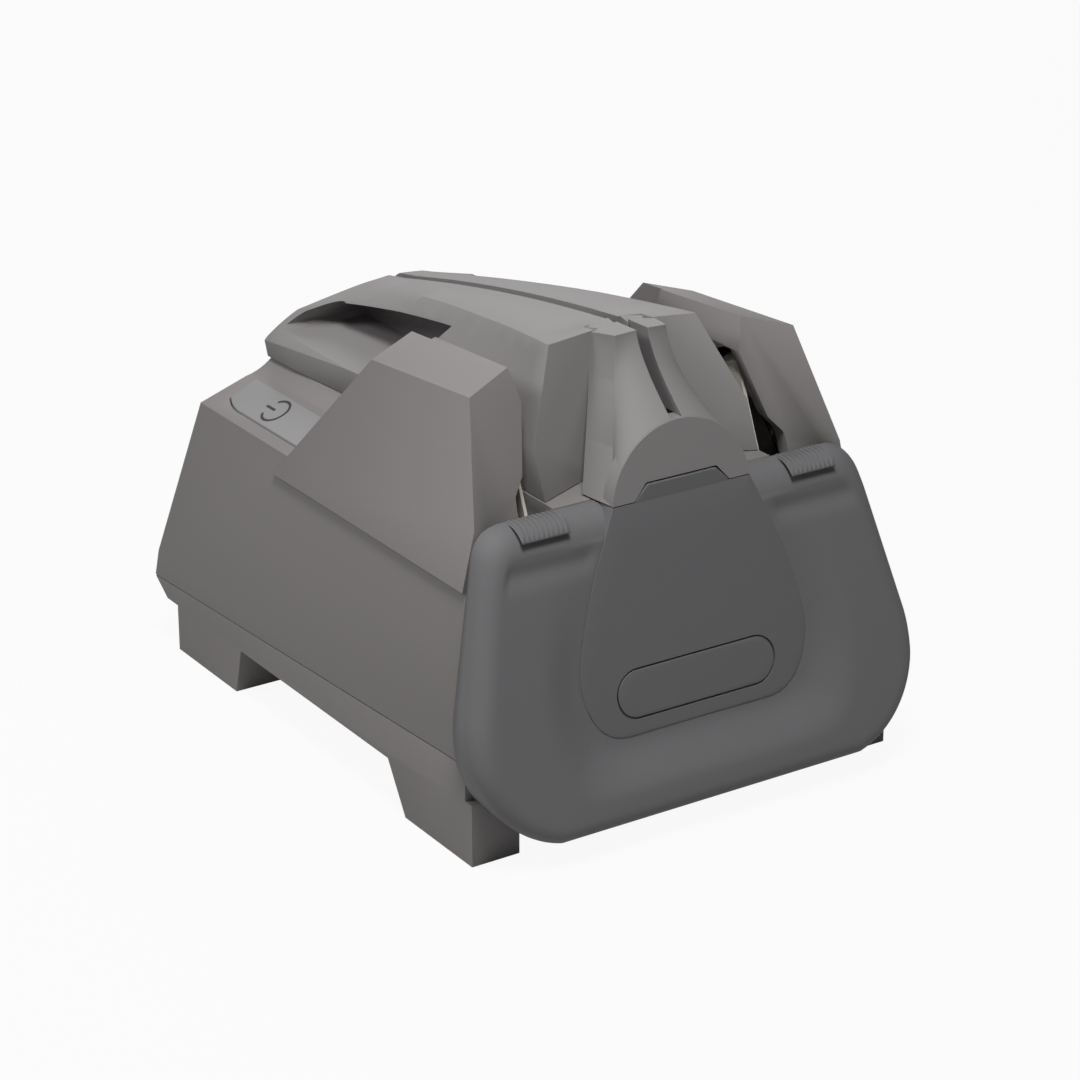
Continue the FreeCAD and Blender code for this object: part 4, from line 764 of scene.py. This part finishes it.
class SHARPENER_OT_label(bpy.types.Operator):
    """Make the blank capsule plate that lies in the panel's shallow recess"""

    bl_idname = "sharpener.label"
    bl_label = "Blank plate"

    def execute(self, context):
        """A capsule drawn in from the recess by the groove's width, level with the panel."""
        height = CAPSULE_HALF_HEIGHT - CAPSULE_GROOVE
        straight = CAPSULE_HALF_LENGTH - CAPSULE_HALF_HEIGHT
        middle = np.array(CAPSULE_MIDDLE)
        turn = np.linspace(-math.pi / 2, math.pi / 2, 60)
        right = middle + np.stack([straight + height * np.cos(turn), height * np.sin(turn)], -1)
        loop = resample(np.vstack([right, 2 * middle - right]), PLATE_COLUMNS)
        piece = plate("blank_plate", loop, panel_y, CAPSULE_DEPTH - PLATE_CLEARANCE, PLATE_EDGE, middle)
        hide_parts("label_plate")
        return {"FINISHED"}


# Thumb grips on the cover's ledge, and the roll that they follow over its front, in millimetres
GRIP_X = 46.5
GRIP_PITCH = 1.6
GRIP_FRONT_Y = -83.9
GRIP_LENGTH = 9.3
GRIP_TOP_Z = 96.72
GRIP_UNDER_Z = 96.3
GRIP_ROLL_Y = -77.6
GRIP_ROLL_RUN = 6.3
GRIP_ROLL_DROP = 3.2
GRIP_ROLL_POWER = 2.2
GRIP_FADE = 0.07
GRIP_ROWS = 24
POINTS_PER_RIB = 16


class SHARPENER_OT_grips(bpy.types.Operator):
    """Make the two thumb grips of fine ribs on the cover's ledge"""

    bl_idname = "sharpener.grips"
    bl_label = "Thumb grips"

    def execute(self, context):
        """A wave across the grip, carried back along the ledge; it fades out at both ends of each rib.

        The wave is a cosine, stretched and cut off so that the ribs have flat crowns and flat gaps.
        """
        count = sizes().rib_count
        height = sizes().rib_height / MM
        u = np.linspace(-count / 2, count / 2, count * POINTS_PER_RIB + 1)
        s = np.linspace(0, 1, GRIP_ROWS)[:, None]
        wave = 0.5 + 0.5 * np.cos(2 * math.pi * (u - 0.5 * (count % 2 == 0)))
        wave = np.clip(wave * 1.5 - 0.2, 0, 1)
        ends = np.clip(np.minimum(s, 1 - s) / GRIP_FADE, 0, 1)
        y = np.broadcast_to(GRIP_FRONT_Y + GRIP_LENGTH * s, (GRIP_ROWS, len(u)))
        roll = np.clip((GRIP_ROLL_Y - y) / GRIP_ROLL_RUN, 0, 1)
        fall = GRIP_ROLL_DROP * roll ** GRIP_ROLL_POWER
        for side, label in ((-1, "left"), (1, "right")):
            x = np.broadcast_to(side * GRIP_X + u * GRIP_PITCH, y.shape)
            top = np.stack([x, y, GRIP_TOP_Z - fall + height * wave * ends], -1)
            low = np.stack([x, y, GRIP_UNDER_Z - fall], -1)
            closed_slab(label + "_thumb_grip", top, low, "cover_plastic", "cover")
        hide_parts("thumb_grips")
        return {"FINISHED"}


# Power symbol, and the sloping deck whose button carries it, in millimetres and degrees
MARK_MIDDLE = (-55.3, 54.2)
MARK_RADIUS = 4.4
MARK_GAP = 38
MARK_BAR = (0.6, 5.6)
MARK_HALF_WIDTH = 0.42
MARK_THICKNESS = 0.08
DECK_EDGE_X = -65.42
DECK_EDGE_Z = 84.8
DECK_SLOPE = 0.42
BUTTON_PROUD = 0.4


class SHARPENER_OT_mark(bpy.types.Operator):
    """Make the plain power symbol on the button: an open ring and a bar"""

    bl_idname = "sharpener.mark"
    bl_label = "Power symbol"

    def execute(self, context):
        """A flat ribbon carried along the open ring and along the bar, on the button's sloping face."""
        gap = math.radians(MARK_GAP)
        turn = np.linspace(math.pi / 2 + gap, 2.5 * math.pi - gap, 90)
        ring = MARK_RADIUS * np.stack([np.cos(turn), np.sin(turn)], -1)
        bar = np.stack([np.zeros(14), np.linspace(*MARK_BAR, 14)], -1)
        points = []
        faces = []
        for path in (ring, bar):
            along = np.gradient(path, axis=0)
            along /= np.linalg.norm(along, axis=1)[:, None]
            across = np.stack([-along[:, 1], along[:, 0]], -1) * MARK_HALF_WIDTH
            section = []
            for offset, lift in ((-1, 0.0), (1, 0.0), (1, MARK_THICKNESS), (-1, MARK_THICKNESS)):
                x, y = (path + across * offset + MARK_MIDDLE).T
                z = DECK_EDGE_Z + BUTTON_PROUD + DECK_SLOPE * (x - DECK_EDGE_X) + lift
                section.append(np.stack([x, y, z], -1))
            faces += [[len(points) + k for k in face] for face in ring_faces(len(path), len(section))]
            points += np.stack(section, 1).reshape(-1, 3).tolist()
        mesh_piece("power_symbol", points, faces, "black_plastic", "button", smooth=False)
        return {"FINISHED"}


class SHARPENER_OT_inner(bpy.types.Operator):
    """Give every solid the finish of its material, before the mouldings are dressed"""

    bl_idname = "sharpener.inner"
    bl_label = "Inner parts"

    def execute(self, context):
        finish_of = {entry["node"]: entry["material_slot"] for entry in frame["record"]["subparts"]}
        for node, solid in frame["nodes"].items():
            solid.data.materials.clear()
            solid.data.materials.append(finish_for(finish_of[node]))
        return {"FINISHED"}


# Studio: a floor just under the feet, how much white it and the sky show, and the sky's light
FLOOR_RADII = (0.3, 0.8, 2.0, 6.0)
FLOOR_COLUMNS = 96
FLOOR_Z = -0.00005
FLOOR_GLOW = 0.93
FLOOR_SHEEN = 0.3
SKY_SHEEN = 0.1
SKY_LIGHT = 0.05
SKY_COLOUR = (0.95, 0.97, 1.0, 1.0)
WHITE = (1.0, 1.0, 1.0, 1.0)

# Lamps: name, place and width in metres, and power in watts, all aimed at one point of the sharpener
LAMPS = (
    ("top_soft_box", (-0.2, -0.35, 0.95), 0.3, 8.0),
    ("left_soft_box", (-0.85, 0.3, 0.85), 0.4, 4.8),
    ("rear_soft_box", (0.6, 1.0, 0.62), 0.6, 5.0),
    ("front_fill", (-0.75, -1.2, 0.6), 0.5, 0.9),
)
LAMP_AIM = (0.0, 0.0, 0.06)

# Camera: place in metres, turns in degrees, lens and sensor in millimetres, and how far it sees in metres
CAMERA_PLACE = (-0.5191, -0.8016, 0.4528)
CAMERA_TILT = 67.27
CAMERA_TURN = -33.24
CAMERA_LENS = 112.22
CAMERA_SENSOR = 36.0
CAMERA_FAR = 20.0


def white_share(tree, sheen):
    """How much white a ray sees: all for camera and clear rays, sheen for mirrored ones, else none."""
    rays = add_node(tree, "ShaderNodeLightPath").outputs
    direct = add_node(tree, "ShaderNodeMath", None,
                      {0: rays["Is Camera Ray"], 1: rays["Is Transmission Ray"]}, operation="MAXIMUM")
    mirrored = add_node(tree, "ShaderNodeMath", {1: sheen}, {0: rays["Is Glossy Ray"]}, operation="MULTIPLY")
    either = add_node(tree, "ShaderNodeMath", None, {0: direct.outputs[0], 1: mirrored.outputs[0]},
                      operation="MAXIMUM")
    return either.outputs[0]


class SHARPENER_OT_stage(bpy.types.Operator):
    """Set the pale floor, the soft studio lamps and the camera"""

    bl_idname = "sharpener.stage"
    bl_label = "Floor, lamps and camera"

    def execute(self, context):
        self.floor()
        self.world()
        self.lamps()
        self.camera(context)
        context.scene.view_settings.view_transform = "Standard"
        return {"FINISHED"}

    @staticmethod
    def floor():
        """A broad flat disc of pale paper that glows almost white where the camera sees it."""
        turn = np.linspace(0, 2 * math.pi, FLOOR_COLUMNS, endpoint=False)
        flat = np.full_like(turn, FLOOR_Z)
        rings = [np.stack([reach * np.cos(turn), reach * np.sin(turn), flat], -1) for reach in FLOOR_RADII]
        faces = ring_faces(len(rings), FLOOR_COLUMNS, last=False)
        mesh = bpy.data.meshes.new("floor")
        mesh.from_pydata(np.concatenate(rings).tolist(), [], faces)
        material = bpy.data.materials.new("studio_floor")
        material.use_nodes = True
        tree = material.node_tree
        tree.nodes.clear()
        place = add_node(tree, "ShaderNodeTexCoord").outputs["Object"]
        noise = add_node(tree, "ShaderNodeTexNoise", {"Scale": 6.0, "Detail": 3.0}, {"Vector": place})
        shade = linear(colours().floor)
        tone = add_node(tree, "ShaderNodeMix", {"A": [c * 0.99 for c in shade[:3]] + [1.0], "B": shade},
                        {"Factor": noise.outputs["Fac"]}, data_type="RGBA")
        paper = add_node(tree, "ShaderNodeBsdfPrincipled", {"Roughness": 0.9, "Specular IOR Level": 0.1},
                         {"Base Color": tone.outputs["Result"]})
        white = add_node(tree, "ShaderNodeEmission", {"Color": WHITE, "Strength": 1.0})
        glow = add_node(tree, "ShaderNodeMath", {1: FLOOR_GLOW}, {0: white_share(tree, FLOOR_SHEEN)},
                        operation="MULTIPLY")
        mix = add_node(tree, "ShaderNodeMixShader", None,
                       {0: glow.outputs[0], 1: paper.outputs["BSDF"], 2: white.outputs["Emission"]})
        add_node(tree, "ShaderNodeOutputMaterial", None, {"Surface": mix.outputs["Shader"]})
        mesh.materials.append(material)
        add_object("floor", mesh)

    @staticmethod
    def world():
        """White where the camera looks, a little of it in reflections, and a dim even sky for the light."""
        world = bpy.data.worlds.new("studio")
        bpy.context.scene.world = world
        world.use_nodes = True
        tree = world.node_tree
        tree.nodes.clear()
        sky = add_node(tree, "ShaderNodeBackground", {"Color": SKY_COLOUR, "Strength": SKY_LIGHT})
        white = add_node(tree, "ShaderNodeBackground", {"Color": WHITE, "Strength": 1.0})
        mix = add_node(tree, "ShaderNodeMixShader", None,
                       {0: white_share(tree, SKY_SHEEN), 1: sky.outputs[0], 2: white.outputs[0]})
        add_node(tree, "ShaderNodeOutputWorld", None, {"Surface": mix.outputs["Shader"]})

    @staticmethod
    def lamps():
        """Soft boxes overhead, on the left and behind on the right, whose sheen lies on the tops.

        A weak lamp on the camera's side fills the front. Each looks along its -Z axis at the same point.
        """
        for name, place, width, power in LAMPS:
            lamp = bpy.data.lights.new(name, "AREA")
            lamp.shape = "SQUARE"
            lamp.size = width
            lamp.energy = power
            holder = add_object(name, lamp)
            holder.location = place
            x, y, z = np.array(LAMP_AIM) - place
            holder.rotation_euler = (math.atan2(math.hypot(x, y), -z), 0, math.atan2(y, x) - math.pi / 2)

    @staticmethod
    def camera(context):
        """Camera at the viewing angle, aimed at the sharpener's middle, with no depth of field."""
        lens = bpy.data.cameras.new("camera")
        lens.lens = CAMERA_LENS
        lens.sensor_width = CAMERA_SENSOR
        lens.clip_end = CAMERA_FAR
        holder = add_object("camera", lens)
        holder.location = CAMERA_PLACE
        holder.rotation_euler = (math.radians(CAMERA_TILT), 0, math.radians(CAMERA_TURN))
        context.scene.camera = holder


class SHARPENER_PT_panel(bpy.types.Panel):
    """Sizes, colours and steps of the sharpener's looks"""

    bl_label = "Knife sharpener"
    bl_space_type = "VIEW_3D"
    bl_region_type = "UI"
    bl_category = "Sharpener"

    def draw(self, context):
        for group in (context.scene.sharpener_sizes, context.scene.sharpener_colours):
            for name in group.bl_rna.properties.keys():
                if name not in ("rna_type", "name"):
                    self.layout.prop(group, name)
        for step in STEPS:
            self.layout.operator(step.bl_idname)


STEPS = (
    SHARPENER_OT_inner,
    SHARPENER_OT_shells,
    SHARPENER_OT_nose,
    SHARPENER_OT_cover,
    SHARPENER_OT_label,
    SHARPENER_OT_grips,
    SHARPENER_OT_mark,
    SHARPENER_OT_stage,
)
CLASSES = (MouldingSizes, MouldingColours) + STEPS + (SHARPENER_PT_panel,)


def register():
    """Add the classes and the two groups of settings to Blender."""
    for item in CLASSES:
        bpy.utils.register_class(item)
    bpy.types.Scene.sharpener_sizes = bpy.props.PointerProperty(type=MouldingSizes)
    bpy.types.Scene.sharpener_colours = bpy.props.PointerProperty(type=MouldingColours)


def unregister():
    """Take the settings and the classes out again."""
    del bpy.types.Scene.sharpener_sizes
    del bpy.types.Scene.sharpener_colours
    for item in reversed(CLASSES):
        bpy.utils.unregister_class(item)


def main():
    """Dress the part."""
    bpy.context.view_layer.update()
    register()
    for step in STEPS:
        space, name = step.bl_idname.split(".")
        getattr(getattr(bpy.ops, space), name)()


if __name__ == "__main__":
    main()
